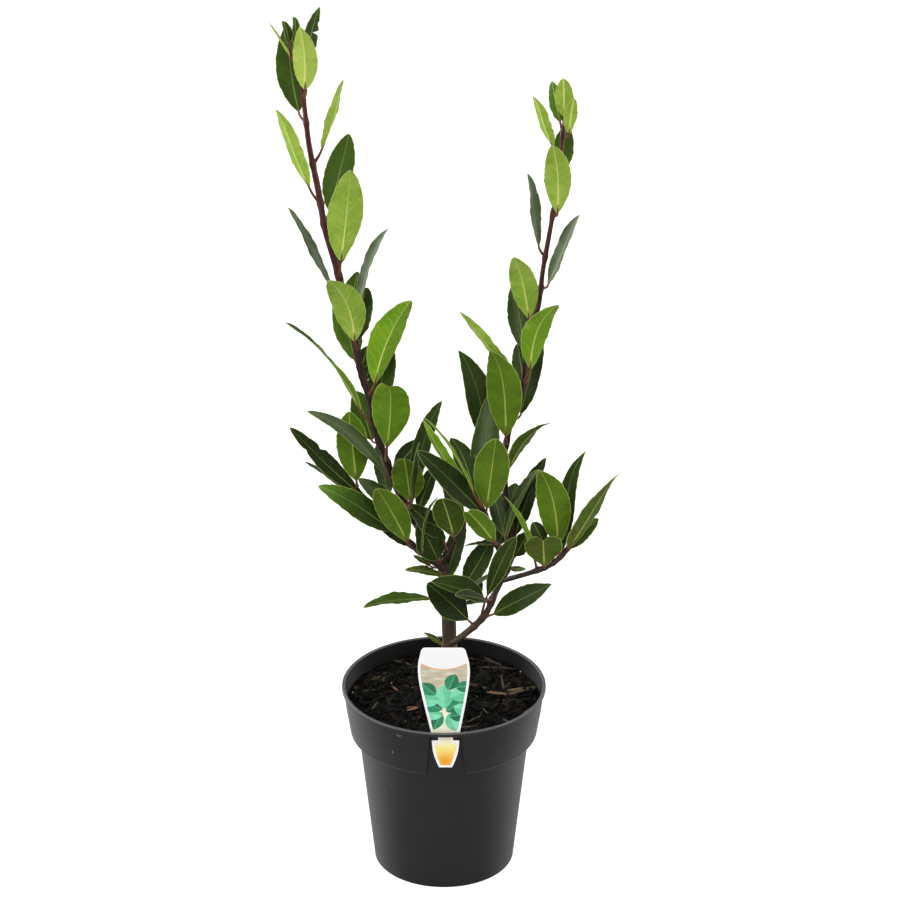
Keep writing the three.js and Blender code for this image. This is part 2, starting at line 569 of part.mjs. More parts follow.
const plant = new THREE.Group();
for (const [name, solid, look] of pieces) {
  const mesh = new THREE.Mesh(geometryOf(solid), new THREE.MeshStandardMaterial(look));
  mesh.name = name;
  plant.add(mesh);
}

export default plant;
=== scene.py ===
import math
import random
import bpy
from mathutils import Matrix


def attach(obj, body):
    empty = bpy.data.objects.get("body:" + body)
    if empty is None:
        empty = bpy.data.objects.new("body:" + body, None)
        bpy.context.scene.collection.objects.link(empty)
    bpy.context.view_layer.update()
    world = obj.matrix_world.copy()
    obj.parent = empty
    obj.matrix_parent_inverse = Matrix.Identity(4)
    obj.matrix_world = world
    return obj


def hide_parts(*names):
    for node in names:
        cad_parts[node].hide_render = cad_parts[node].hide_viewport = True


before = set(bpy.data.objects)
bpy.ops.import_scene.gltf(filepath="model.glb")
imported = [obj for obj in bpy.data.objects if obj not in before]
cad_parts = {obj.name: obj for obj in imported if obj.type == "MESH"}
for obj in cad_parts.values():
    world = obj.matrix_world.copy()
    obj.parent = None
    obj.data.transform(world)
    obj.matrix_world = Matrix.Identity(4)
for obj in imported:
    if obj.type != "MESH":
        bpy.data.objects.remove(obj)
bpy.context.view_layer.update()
from types import SimpleNamespace
import bpy
from mathutils import Matrix, Vector, noise

# ---- The studio ----
# A pale floor that runs out of sight, a bright even room, large soft lamps at the sides and in front,
# and two weaker ones behind that draw a light edge along the pot and the leaves. The camera looks down
# on the plant from a little above its top.
CAMERA_PLACE = (0.0059, -3.148, 1.918)
CAMERA_TILT = 64.81
ROOM_LIGHT = 0.36
LAMPS = [  # place, size, watts
    ((-2.4, -0.6, 1.6), 1.8, 48.0),
    ((2.5, -0.4, 1.5), 1.8, 36.0),
    ((-0.2, -2.6, 3.3), 1.4, 58.0),
    ((-1.7, 1.5, 0.7), 1.6, 36.0),
    ((1.8, 1.4, 0.7), 1.6, 18.0),
]
LAMP_AIM = Vector((0.0, 0.0, 0.4))

bpy.context.scene.view_settings.view_transform = "Standard"
bpy.ops.object.camera_add(location=CAMERA_PLACE, rotation=(math.radians(CAMERA_TILT), 0, 0))
camera = bpy.context.object
camera.name = "camera"
camera.data.sensor_width = 36.0
camera.data.lens = 148.6
bpy.context.scene.camera = camera

for number, (place, size, watts) in enumerate(LAMPS):
    turn = (LAMP_AIM - Vector(place)).to_track_quat("-Z", "Y").to_euler()
    bpy.ops.object.light_add(type="AREA", location=place, rotation=turn)
    lamp = bpy.context.object
    lamp.name = f"lamp_{number}"
    lamp.data.size = size
    lamp.data.energy = watts

room = bpy.data.worlds.new("bright_room")
room.use_nodes = True
bpy.context.scene.world = room


def fresh(add, name, **settings):
    """One new primitive, with nothing else selected."""
    bpy.ops.object.select_all(action="DESELECT")
    add(**settings)
    form = bpy.context.object
    form.name = name
    return form


def fill(node, inputs):
    """Gives a node's inputs their values, or links them to the sockets that feed them."""
    for key, value in inputs.items():
        socket = node.inputs[key]
        if isinstance(value, bpy.types.NodeSocket):
            node.id_data.links.new(value, socket)
        else:
            socket.default_value = (*value, 1) if socket.type == "RGBA" else value
    return node


def add_node(kind, inputs, beside=None, **settings):
    """The outputs of one new shader node, in the tree of `beside` or of its first linked input."""
    inputs = dict(inputs)
    tree = (beside or next(v for v in inputs.values() if isinstance(v, bpy.types.NodeSocket))).id_data
    node = tree.nodes.new("ShaderNode" + kind)
    for name, value in settings.items():
        setattr(node, name, value)
    return fill(node, inputs).outputs


def maths(operation, *values):
    return add_node("Math", enumerate(values), operation=operation)[0]


def plus(a, b):
    return maths("ADD", a, b)


def minus(a, b):
    return maths("SUBTRACT", a, b)


def times(a, b):
    return maths("MULTIPLY", a, b)


def mix_colour(share, low, high, blend="MIX"):
    return add_node("Mix", {"Factor": share, 6: low, 7: high}, data_type="RGBA", blend_type=blend)[2]


def ease(value, low, high, to_low=0.0, to_high=1.0):
    """A smooth change from one value to another as `value` goes from low to high."""
    sockets = {"Value": value, "From Min": low, "From Max": high, "To Min": to_low, "To Max": to_high}
    return add_node("MapRange", sockets, interpolation_type="SMOOTHSTEP")[0]


def noise_of(where, scale, detail=4.0, roughness=0.6):
    sockets = {"Vector": where, "Scale": scale, "Detail": detail, "Roughness": roughness}
    return add_node("TexNoise", sockets)[0]


def finish(name, roughness, specular=0.5):
    """A material with its steady numbers set on the shader; gives back the place on the object too."""
    material = bpy.data.materials.new(name)
    material.use_nodes = True
    shader = material.node_tree.nodes["Principled BSDF"]
    fill(shader, {"Roughness": roughness, "Specular IOR Level": specular})
    return material, shader, add_node("TexCoord", {}, shader)["Object"]


def new_group(name, inputs, outputs):
    """A node group with named inputs and outputs; gives back the group, its entry and its exit node."""
    group = bpy.data.node_groups.new(name, "ShaderNodeTree")
    for in_out, sockets in (("INPUT", inputs), ("OUTPUT", outputs)):
        for label, kind in sockets.items():
            group.interface.new_socket(label, in_out=in_out, socket_type="NodeSocket" + kind)
    return group, group.nodes.new("NodeGroupInput").outputs, group.nodes.new("NodeGroupOutput")


def use_group(group, inputs):
    """Places a node group in the tree that its inputs come from."""
    tree = next(v for v in inputs.values() if isinstance(v, bpy.types.NodeSocket)).id_data
    node = tree.nodes.new("ShaderNodeGroup")
    node.node_tree = group
    return fill(node, inputs).outputs


# Patches of two tones at one scale, used for plastic, mix, bark and leaf alike.
mottle, entry, leave = new_group(
    "mottle",
    {"Place": "Vector", "Scale": "Float", "Contrast": "Float", "Low": "Color", "High": "Color"},
    {"Colour": "Color", "Share": "Float"},
)
patches = noise_of(entry["Place"], entry["Scale"], 5.0, 0.62)
spread = times(minus(patches, 0.5), entry["Contrast"])
share = add_node("Clamp", {"Value": plus(spread, 0.5)})[0]
fill(leave, {"Colour": mix_colour(share, entry["Low"], entry["High"]), "Share": share})


def mottled(where, scale, contrast, low, high):
    inputs = {"Place": where, "Scale": scale, "Contrast": contrast, "Low": low, "High": high}
    return use_group(mottle, inputs)


floor_finish, shader, where = finish("studio_floor", 0.8, specular=0.2)
tones = mottled(where, 1.5, 1.0, (0.5, 0.5, 0.5), (0.54, 0.54, 0.54))
to_camera = add_node("LightPath", {}, shader)["Is Camera Ray"]
fill(shader, {
    "Base Color": tones["Colour"], "Emission Strength": 0.8,
    "Emission Color": mix_colour(to_camera, (0, 0, 0), (1, 1, 1)),
})
# Past the floor's far edge the room shows white to the camera; it lights the plant more softly.
background = room.node_tree.nodes["Background"]
to_camera = add_node("LightPath", {}, background)["Is Camera Ray"]
fill(background, {"Color": (1, 1, 1), "Strength": ease(to_camera, 0.0, 1.0, ROOM_LIGHT, 1.0)})

floor = fresh(bpy.ops.mesh.primitive_plane_add, "floor", size=24.0)
floor.data.materials.append(floor_finish)

# ---- The pot ----
# A nursery pot blown or moulded in one piece from dark grey polypropylene: a tapering body, a wider
# collar under a thin lip, a sunk panel in the front of the collar with a slot above it for the label.
MM = 0.001
POT_SIDES = 144
SHOULDER = 1.5  # width and height of the bevel where the collar meets the body
POT = SimpleNamespace(
    height=188, wall=1.8, foot_radius=67, slope=0.109, radius_at_floor=67.8,
    collar_bottom=137.5, collar_bottom_radius=90.5, collar_top=184.5, collar_top_radius=96.6,
    lip_bottom=185, lip_radius=98.5, mouth_radius=95.2,
    disc_radius=22, channel_inner=25, channel_outer=58, channel_rise=3, ring_inner=61,
    drain_holes=6, drain_radius=5, drain_circle=48,
)
PANEL = SimpleNamespace(
    centre_x=1.8, top_z=182, slot_top_z=183.5, top_width=29.5, bottom_width=37, top_y=-91.8,
    bottom_y=-87,
)
KNOCKS = [  # place, reach, strength
    ((-42.5, -84.5, 179.5), (3.57, 16.67, 2.38), 0.5), ((-48.5, -79, 158), (0.91, 8.33, 3.03), 0.9),
]


def select_only(*objects):
    bpy.ops.object.select_all(action="DESELECT")
    for one in objects:
        one.select_set(True)
    bpy.context.view_layer.objects.active = objects[0]


def face_outwards():
    """Ends an edit: every face of the closed form turned outwards."""
    bpy.ops.mesh.select_all(action="SELECT")
    bpy.ops.mesh.normals_make_consistent(inside=False)
    bpy.ops.object.mode_set(mode="OBJECT")


def smooth(form, degrees):
    """Shades a form smooth, except at edges sharper than this."""
    select_only(form)
    bpy.ops.object.shade_smooth_by_angle(angle=math.radians(degrees))


def arc(centre, radius, start, end, steps):
    """Points of a round edge in a profile; angles in degrees, 0 outwards and 90 upwards."""
    turns = [math.radians(start + (end - start) * k / steps) for k in range(steps + 1)]
    return [(centre[0] + radius * math.cos(a), centre[1] + radius * math.sin(a)) for a in turns]


def turned(name, profile, sides):
    """Raises a closed form from one disc, ring by ring, along a profile of radius and height in mm."""
    radius, height = profile[0]
    form = fresh(bpy.ops.mesh.primitive_circle_add, name, vertices=sides, radius=radius * MM,
                 fill_type="NGON", location=(0, 0, height * MM))
    bpy.ops.object.transform_apply(location=True, rotation=True, scale=True)
    bpy.ops.object.mode_set(mode="EDIT")
    bpy.ops.mesh.select_all(action="SELECT")
    for next_radius, next_height in profile[1:]:
        bpy.ops.mesh.extrude_region_move(
            TRANSFORM_OT_translate={"value": (0, 0, (next_height - height) * MM)})
        growth = next_radius / radius
        bpy.ops.transform.resize(value=(growth, growth, 1), center_override=(0, 0, next_height * MM))
        radius, height = next_radius, next_height
    face_outwards()
    return form


def carve(form, tool, operation="DIFFERENCE"):
    """Cuts the tool out of the form, or joins it on, and throws the tool away."""
    cut = form.modifiers.new("cut", "BOOLEAN")
    cut.operation = operation
    cut.object = tool
    cut.solver = "EXACT"
    select_only(form)
    bpy.ops.object.modifier_apply(modifier=cut.name)
    bpy.data.objects.remove(tool)


def peg(x, y, bottom, top, radius):
    place = (x * MM, y * MM, (bottom + top) / 2 * MM)
    return fresh(bpy.ops.mesh.primitive_cylinder_add, "peg", vertices=32, radius=radius * MM,
                 depth=(top - bottom) * MM, location=place)


def panel_block(inset, growth, bottom, top, out_y):
    """A block as wide as the sunk panel, from `inset` behind its face out to `out_y` at foot and top."""
    block = fresh(bpy.ops.mesh.primitive_cube_add, "block", size=2.0)
    for vertex in block.data.vertices:
        z = top if vertex.co.z > 0 else bottom
        share = (PANEL.top_z - z) / (PANEL.top_z - POT.collar_bottom)
        half = (PANEL.top_width + (PANEL.bottom_width - PANEL.top_width) * share) / 2 + growth
        back = PANEL.top_y + (PANEL.bottom_y - PANEL.top_y) * share + inset
        front = out_y[1] if vertex.co.z > 0 else out_y[0]
        y = back if vertex.co.y > 0 else front
        x = PANEL.centre_x + math.copysign(half, vertex.co.x)
        vertex.co = (x * MM, y * MM, z * MM)
    return block


def body_radius(z):
    return POT.radius_at_floor + POT.slope * z


def inner_profile(gap):
    """The inside of the wall, from the mouth down to the foot of the wall."""
    wall = POT.wall
    collar_floor = POT.collar_bottom + wall
    return [
        (POT.collar_top_radius - wall - gap, POT.collar_top),
        (POT.collar_bottom_radius - wall - gap, collar_floor + gap + SHOULDER),
        (POT.collar_bottom_radius - wall - gap - SHOULDER, collar_floor + gap),
        (body_radius(POT.collar_bottom) - wall - gap, collar_floor + gap),
        (body_radius(4) - wall - gap, 4),
        (POT.foot_radius - wall - 0.4 - gap, wall + gap),
    ]


def floor_profile(gap):
    low = POT.wall + gap
    high = POT.channel_rise + POT.wall + gap
    return [
        (POT.ring_inner + 1, low), (POT.channel_outer + 1, high), (POT.channel_inner - 1, high),
        (POT.disc_radius - 1, low),
    ]


collar_foot = POT.collar_bottom_radius
pot_profile = [
    (POT.disc_radius, 0), (POT.channel_inner, POT.channel_rise),
    (POT.channel_outer, POT.channel_rise), (POT.ring_inner, 0),
    *arc((POT.foot_radius - 0.6, 1.6), 1.6, -90, -5, 4),
    (body_radius(8), 8), (body_radius(60), 60), (body_radius(135), 135),
    *arc(
        (body_radius(POT.collar_bottom) + SHOULDER, POT.collar_bottom - SHOULDER), SHOULDER, 180, 90, 3,
    ),
    *arc((collar_foot - 3, POT.collar_bottom + 3), 3, -90, -5, 5),
    (94.4, 165), (POT.collar_top_radius, POT.collar_top - 0.6),
    *arc((POT.lip_radius - 0.6, POT.lip_bottom + 0.4), 0.6, -90, 0, 3),
    *arc((POT.lip_radius - 0.9, POT.height - 0.9), 0.9, 0, 90, 5),
    *arc((POT.mouth_radius + 0.7, POT.height - 0.7), 0.7, 90, 180, 4),
    *inner_profile(0), *floor_profile(0),
]
pot = turned("nursery_pot", pot_profile, POT_SIDES)
wall_block = panel_block(POT.wall, POT.wall, POT.collar_bottom + 0.5, PANEL.top_z, (-87.4, -93.6))
carve(pot, wall_block, "UNION")
carve(pot, panel_block(0, 0, POT.collar_bottom - 1, PANEL.slot_top_z, (-103, -103)))
for number in range(POT.drain_holes):
    angle = (number + 0.5) / POT.drain_holes * 2 * math.pi
    x, y = POT.drain_circle * math.cos(angle), POT.drain_circle * math.sin(angle)
    carve(pot, peg(x, y, -2, POT.channel_rise + POT.wall + 1, POT.drain_radius))
smooth(pot, 32)


def cells_of(where, scale, **settings):
    return add_node("TexVoronoi", {"Vector": where, "Scale": scale}, **settings)


def stretched(where, scale):
    return add_node("Mapping", {"Vector": where, "Scale": scale})[0]


def axes_of(vector):
    """The X, Y and Z of a vector."""
    return add_node("SeparateXYZ", {"Vector": vector})


def in_mm(where):
    return stretched(where, (1000.0, 1000.0, 1000.0))


def bump(shader, height, strength, distance):
    relief = add_node("Bump", {"Height": height, "Strength": strength, "Distance": distance})
    fill(shader, {"Normal": relief[0]})


# Moulded plastic: a fine matt grain, faint long scuffs, a few pale specks of dust, and a painted
# highlight along the top of the lip.
SCUFFS_AND_LIP_HIGHLIGHT = (0.1, 0.097, 0.1)
PAINTED_SHEEN = (0.1, 0.099, 0.1)
DUSTY = (0.3, 0.29, 0.27)
RUBBED = (0.3, 0.29, 0.28)
PAINTED_SHADE = (0.0015, 0.0015, 0.0016)
pot_finish, shader, where = finish("grey_plastic", 0.42, specular=0.38)
tones = mottled(where, 22.0, 1.1, (0.005, 0.005, 0.0055), (0.0082, 0.0082, 0.009))
scuffs = ease(noise_of(stretched(where, (60.0, 60.0, 260.0)), 1.0, 6.0, 0.7), 0.63, 0.78)
specks = ease(cells_of(where, 95.0)["Distance"], 0.03, 0.075, 1.0, 0.0)
dust = times(specks, ease(noise_of(where, 31.0, 2.0), 0.6, 0.66))
place = axes_of(in_mm(where))
height = place["Z"]
# Painted highlight: the top of the lip is made paler, mixed towards the same pale colour as the faint
# scuffs.
scuffs_and_lip_highlight = plus(times(scuffs, 0.1), ease(height, POT.height - 1.4, POT.height - 0.4, 0.0, 0.9))
colour = mix_colour(maths("MINIMUM", scuffs_and_lip_highlight, 1.0), tones["Colour"], SCUFFS_AND_LIP_HIGHLIGHT)
colour = mix_colour(times(dust, 0.8), colour, DUSTY)
# Painted shade: the corners at both sides of the sunk panel and a band close under the collar are
# darkened, as where shade falls.
flare = (PANEL.bottom_width - PANEL.top_width) / 2 / (PANEL.top_z - POT.collar_bottom)
half = maths("MULTIPLY_ADD", minus(PANEL.top_z, height), flare, PANEL.top_width / 2)
off_centre = maths("ABSOLUTE", minus(place["X"], PANEL.centre_x))
corner = ease(maths("ABSOLUTE", minus(off_centre, half)), 0.5, 1.5, 0.95, 0.0)
corner = times(corner, ease(place["Y"], -84.0, -82.0, 1.0, 0.0))
corner = times(corner, ease(height, POT.collar_bottom - 1, POT.collar_bottom + 0.5))
corner = times(corner, ease(height, PANEL.slot_top_z - 1, PANEL.slot_top_z + 0.5, 1.0, 0.0))
under = ease(height, POT.collar_bottom - 8.5, POT.collar_bottom - 0.3, 0.0, 0.6)
under = times(under, ease(height, POT.collar_bottom + 0.1, POT.collar_bottom + 0.4, 1.0, 0.0))
# The panel corners and the band under the collar get the near-black painted shade colour.
colour = mix_colour(maths("MAXIMUM", corner, under), colour, PAINTED_SHADE)
# Two old knocks show pale on the left of the collar: a rubbed smear and a short scratch.
for spot, reach, strength in KNOCKS:
    off_spot = add_node("VectorMath", {0: in_mm(where), 1: spot}, operation="SUBTRACT")[0]
    off_spot = add_node("VectorMath", {0: off_spot, 1: reach}, operation="DIVIDE")[0]
    off_spot = add_node("VectorMath", {0: off_spot}, operation="LENGTH")["Value"]
    rub = times(ease(off_spot, 0.3, 1.0, strength, 0.0), noise_of(where, 700.0))
    colour = mix_colour(rub, colour, RUBBED)
# Painted sheen: the plastic is made paler where it is seen at a shallow angle.
facing = add_node("LayerWeight", {"Blend": 0.5}, shader)["Facing"]
colour = mix_colour(ease(facing, 0.3, 0.75, 0.0, 0.5), colour, PAINTED_SHEEN)
grain = noise_of(where, 900.0, 3.0)
gloss = plus(times(grain, 0.1), times(scuffs, 0.14))
fill(shader, {"Base Color": colour, "Roughness": plus(gloss, 0.34)})
bump(shader, minus(grain, times(corner, 5.0)), 0.25, 0.0003)
pot.data.materials.append(pot_finish)
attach(pot, "root")
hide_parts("pot")

# ---- The potting mix ----
# Peat and composted bark, filled to about 15 mm below the lip and lumpy on top.
# The trunk stands in it; chips of bark, slivers of wood and white grains lie loose on the surface.
SOIL_LEVEL = 173
SOIL_GAP = 0.3
SOIL_SIDES = 180
TRUNK_HOLE = SimpleNamespace(x=5.3, foot=104, radius=7.5)


def soil_height(x, y):
    """Height in mm of the mix above the ground at a place in mm."""
    lumps = math.sin(x / 7.3 + 1.1) * math.cos(y / 8.1) + 0.7 * math.sin(x / 13.7 - y / 11.3 + 2.4)
    crumbs = noise.fractal(Vector((x / 5.5, y / 5.5, 0.3)), 0.7, 2.1, 4)
    return SOIL_LEVEL + 1.6 * lumps + 3 * math.exp(-(x * x + y * y) / 900) + 1.3 * crumbs


soil_wall = inner_profile(SOIL_GAP)
top_radius = POT.collar_top_radius - POT.wall - SOIL_GAP - 1.6
mix_profile = [
    *reversed(floor_profile(SOIL_GAP)), *reversed(soil_wall[1:]), (top_radius, SOIL_LEVEL - 4),
    (top_radius, SOIL_LEVEL - 1), *[(r, SOIL_LEVEL) for r in range(91, 0, -2)],
]
mix = turned("potting_mix_body", mix_profile, SOIL_SIDES)
for vertex in mix.data.vertices:
    if vertex.co.z > (SOIL_LEVEL - 0.5) * MM:
        vertex.co.z = soil_height(vertex.co.x / MM, vertex.co.y / MM) * MM
inset = POT.wall + SOIL_GAP
carve(mix, panel_block(inset, inset, POT.collar_bottom - SOIL_GAP, POT.height, (-98.5, -98.5)))
carve(mix, peg(TRUNK_HOLE.x, 0, TRUNK_HOLE.foot, POT.height + 2, TRUNK_HOLE.radius))
smooth(mix, 50)

mix_finish, shader, where = finish("peaty_mix", 0.9, specular=0.1)
coarse = mottled(where, 120.0, 3.2, (0.0005, 0.0005, 0.0004), (0.003, 0.0025, 0.0017))
clods = cells_of(where, 330.0)
brown = ease(add_node("SeparateColor", {"Color": clods["Color"]})[0], 0.72, 0.9)
fill(shader, {"Base Color": mix_colour(times(brown, 0.5), coarse["Colour"], (0.03, 0.018, 0.01))})
bump(shader, plus(noise_of(where, 420.0, 6.0, 0.75), clods["Distance"]), 0.9, 0.0016)
mix.data.materials.append(mix_finish)
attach(mix, "root")
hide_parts("potting_mix")


def set_attribute(mesh, name, values):
    """Writes three numbers for each point of a mesh, for its material to read."""
    layer = mesh.attributes.new(name, "FLOAT_VECTOR", "POINT")
    layer.data.foreach_set("vector", [number for value in values for number in value])


def scattered(name, master, places, tones, material):
    """Copies one small master piece to each place, each copy with its own tone, and joins the copies."""
    copies = []
    for place, tone in zip(places, tones):
        copy = master.copy()
        copy.data = master.data.copy()
        copy.data.transform(place)
        set_attribute(copy.data, "tone", [tone] * len(copy.data.vertices))
        bpy.context.collection.objects.link(copy)
        copies.append(copy)
    select_only(*copies)
    bpy.ops.object.join()
    joined = bpy.context.object
    joined.name = name
    joined.data.materials.append(material)
    smooth(joined, 40)
    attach(joined, "root")


def lying(x, y, lift, size, turn, tilt, roll):
    """The place of a loose piece of the mix: its size in mm and its angles in degrees."""
    spin = Matrix.Rotation(math.radians(turn), 4, "Z")
    lean = Matrix.Rotation(math.radians(tilt), 4, "Y") @ Matrix.Rotation(math.radians(roll), 4, "X")
    scale = Matrix.Diagonal((size[0] / 2 * MM, size[1] / 2 * MM, size[2] / 2 * MM, 1))
    place = Vector((x, y, soil_height(x, y) + lift)) * MM
    return Matrix.Translation(place) @ spin @ lean @ scale


LITTER = SimpleNamespace(half=91, radius=92.5, housing_half=20, housing_y=-84)


def free_spot(draw, reach):
    """A random place on the mix, clear of the wall, the trunk and the panel's housing."""
    while True:
        x, y = draw.uniform(-LITTER.half, LITTER.half), draw.uniform(-LITTER.half, LITTER.half)
        near_trunk = math.hypot(x - TRUNK_HOLE.x, y) < TRUNK_HOLE.radius + reach + 1
        beside_housing = abs(x - PANEL.centre_x) >= LITTER.housing_half + reach
        clear_of_housing = beside_housing or y >= LITTER.housing_y + reach
        if math.hypot(x, y) < LITTER.radius - reach and not near_trunk and clear_of_housing:
            return x, y


# One broken chip: a slab with its edges knocked off, no two sides alike.
chip = fresh(bpy.ops.mesh.primitive_cube_add, "chip_master", size=2.0)
bpy.ops.object.mode_set(mode="EDIT")
bpy.ops.mesh.subdivide(number_cuts=2, smoothness=0.7)
bpy.ops.object.mode_set(mode="OBJECT")
draw = random.Random(3)
for vertex in chip.data.vertices:
    vertex.co += Vector([draw.uniform(-0.2, 0.2) for _ in range(3)])
    vertex.co.z *= 1 - 0.35 * abs(vertex.co.x)

CHIP_TONES = [  # colour, share of the draw
    ((0.0009, 0.0007, 0.0005), 46), ((0.003, 0.0022, 0.0015), 26), ((0.011, 0.0082, 0.0048), 12),
    ((0.03, 0.019, 0.009), 4), ((0.022, 0.011, 0.008), 3), ((0.014, 0.0155, 0.005), 7),
    ((0.045, 0.034, 0.012), 2),
]
CHIP_COUNT = 2600
CHIP_LENGTHS = [1.4, 2, 2.5, 3, 4, 5.5, 8]
CRUMB_LENGTH = 2.8  # shorter chips go into a piece of their own
draw = random.Random(11)
litter = {"bark_chips": ([], []), "bark_crumbs": ([], [])}
for _ in range(CHIP_COUNT):
    length = draw.choice(CHIP_LENGTHS) * draw.uniform(0.8, 1.25)
    size = (length, length * draw.uniform(0.15, 0.55), min(length * draw.uniform(0.2, 0.45), 2.2))
    x, y = free_spot(draw, length / 2 + 0.5)
    lift = size[2] * draw.uniform(-0.1, 0.5)
    places, tones = litter["bark_chips" if length > CRUMB_LENGTH else "bark_crumbs"]
    places.append(lying(x, y, lift, size, draw.uniform(0, 360), draw.gauss(0, 28), draw.gauss(0, 30)))
    tone = draw.choices([t for t, _ in CHIP_TONES], [w for _, w in CHIP_TONES])[0]
    shade = draw.uniform(0.4, 1.0)
    tones.append([part * shade for part in tone])
    draw.random()  # one spare draw, so that all later chips and grains keep their places


def broken_wood(name, roughness, specular, scale, contrast, low, high, strength, depth):
    """Wood in each piece's own tone, with a grain of fine fibres."""
    material, shader, where = finish(name, roughness, specular)
    tone = add_node("Attribute", {}, shader, attribute_name="tone")["Color"]
    fibres = mottled(where, scale, contrast, low, high)
    fill(shader, {"Base Color": mix_colour(1.0, tone, fibres["Colour"], "MULTIPLY")})
    bump(shader, fibres["Share"], strength, depth)
    return material


chip_finish = broken_wood(
    "bark_chips", 0.8, 0.14, 500.0, 2.4, (0.45, 0.42, 0.4), (1.5, 1.5, 1.45), 0.6, 0.0006,
)
for name, (places, tones) in litter.items():
    scattered(name, chip, places, tones, chip_finish)

# Long slivers of pale and reddish wood: x, y, length, width, turn, colour.
SLIVERS = [
    (39, 73, 31, 1.5, -15, (0.075, 0.032, 0.02)), (50, 66, 20, 1.4, -40, (0.05, 0.026, 0.018)),
    (54, 52, 25, 1.3, 2, (0.05, 0.028, 0.02)), (52, 1.5, 14, 2.6, -5, (0.16, 0.095, 0.032)),
    (66, 5, 19, 3, 30, (0.095, 0.07, 0.024)), (76, 14, 21, 3.4, 24, (0.12, 0.088, 0.03)),
    (79, 10, 15, 2.4, 33, (0.07, 0.05, 0.02)), (83, -24, 16, 2.2, 57, (0.15, 0.12, 0.035)),
    (-28, -28, 12, 1.6, 33, (0.22, 0.11, 0.06)), (-31, -26, 7, 1, 15, (0.16, 0.07, 0.04)),
    (-48, 17, 8, 1.2, -50, (0.17, 0.075, 0.04)), (57, 30, 18, 1.5, -85, (0.055, 0.04, 0.022)),
    (42, 13, 11, 1.8, -40, (0.08, 0.055, 0.026)), (-20, 60, 16, 1.4, 25, (0.035, 0.026, 0.013)),
    (-66, -20, 12, 1.6, 70, (0.035, 0.028, 0.012)), (20, -62, 13, 1.5, 15, (0.05, 0.035, 0.015)),
    (-40, 66, 14, 1.4, -20, (0.045, 0.03, 0.016)), (60, -48, 11, 1.6, -35, (0.06, 0.05, 0.016)),
    (30, -45, 16, 1, 50, (0.045, 0.045, 0.012)), (38, -30, 12, 0.9, -62, (0.04, 0.045, 0.013)),
    (-60, 40, 13, 1, 62, (0.04, 0.04, 0.013)), (-72, 10, 10, 1, 20, (0.045, 0.035, 0.015)),
]
places = [lying(x, y, 2.2, (long, wide, 1.4), turn, 4, 0) for x, y, long, wide, turn, _ in SLIVERS]
wood_finish = broken_wood(
    "wood_slivers", 0.65, 0.5, 700.0, 2.0, (0.5, 0.45, 0.4), (1.35, 1.35, 1.3), 0.5, 0.0004,
)
scattered("wood_slivers", chip, places, [colour for *_, colour in SLIVERS], wood_finish)

# White grains of perlite, and one larger one at the left wall.
GRAINS = [(-51, 27, 1.6), (-38, -7, 1.9), (75, 53, 2), (64, -45, 2.2), (-88, 3, 1.8)]  # x, y, size
LOOSE_GRAINS = 40
grain = fresh(bpy.ops.mesh.primitive_ico_sphere_add, "grain_master", subdivisions=2, radius=1.0)
for vertex in grain.data.vertices:
    vertex.co *= 0.85 + 0.3 * noise.noise(vertex.co * 1.7)
spots = GRAINS + [(*free_spot(draw, 2), draw.uniform(0.6, 1.3)) for _ in range(LOOSE_GRAINS)]
places = [lying(x, y, size * 0.3, (size, size * 0.9, size * 0.8), x * 7, 0, 0) for x, y, size in spots]
grain_finish, shader, where = finish("white_grains", 0.8)
tones = mottled(where, 800.0, 2.0, (0.32, 0.3, 0.26), (0.72, 0.7, 0.65))
fill(shader, {"Base Color": tones["Colour"]})
bump(shader, tones["Share"], 0.5, 0.0003)
scattered("white_grains", grain, places, [(1, 1, 1)] * len(places), grain_finish)
for master in (chip, grain):
    bpy.data.objects.remove(master)

# ---- The trunk ----
# A short woody stem rooted in the mix, brown-green and smooth, with a small twig halfway up. Both
# leaders and two of the side shoots grow from it.

# Every stem and leaf is set out as it shows from the front: x and z on the upright plane through the
# pot's axis, y for how far behind that plane it stands, and EYE for where it is seen from, all in mm.
EYE = Vector((5.9, -3148, 1918))
WOOD = SimpleNamespace(pace=2.5, node_swell=0.8, node_reach=3.2, uneven=0.05)
TRUNK_ROUTE = [
    (5.3, 110, 0, 5), (5.3, 175, 0, 7), (5.3, 232, 0, 7), (4.6, 262, 0, 6.9), (3.5, 280, 0, 6.7),
    (2, 300, 0, 6.4), (0.2, 314, 0, 6.2), (-0.8, 321, 0, 4.4),
]
TRUNK_SPUR_ROUTE = [(5, 255, 1, 2.4), (12, 275, 4, 2.2), (18, 288, 4, 2), (21.5, 295, 4, 1.6)]


def seen(place):
    """Carries a place as it shows from the front along its sight line to where it really is."""
    x, z, y = place[:3]
    t = (y - EYE.y) / -EYE.y
    return Vector((EYE.x + (x - EYE.x) * t, y, EYE.z + (z - EYE.z) * t))


def stem_line(route):
    """The middle of a stem every few millimetres, as (place, radius), in a smooth curve."""
    stops = [seen(stop) for stop in route]
    stops = [stops[0] * 2 - stops[1], *stops, stops[-1] * 2 - stops[-2]]
    line = []
    for k in range(len(route) - 1):
        a, b, c, d = stops[k:k + 4]
        ab, bc, cd = [max((q - p).length, 1e-4) ** 0.5 for p, q in ((a, b), (b, c), (c, d))]
        leave_b = ((b - a) / ab - (c - a) / (ab + bc) + (c - b) / bc) * bc
        reach_c = ((c - b) / bc - (d - b) / (bc + cd) + (d - c) / cd) * bc
        steps = max(2, round((c - b).length / WOOD.pace))
        for w in (step / steps for step in range(steps)):
            place = (b * (2 * w**3 - 3 * w**2 + 1) + leave_b * (w**3 - 2 * w**2 + w)
                     + c * (3 * w**2 - 2 * w**3) + reach_c * (w**3 - w**2))
            line.append((place, route[k][3] * (1 - w) + route[k + 1][3] * w))
    line.append((stops[-2], route[-1][3]))
    return line


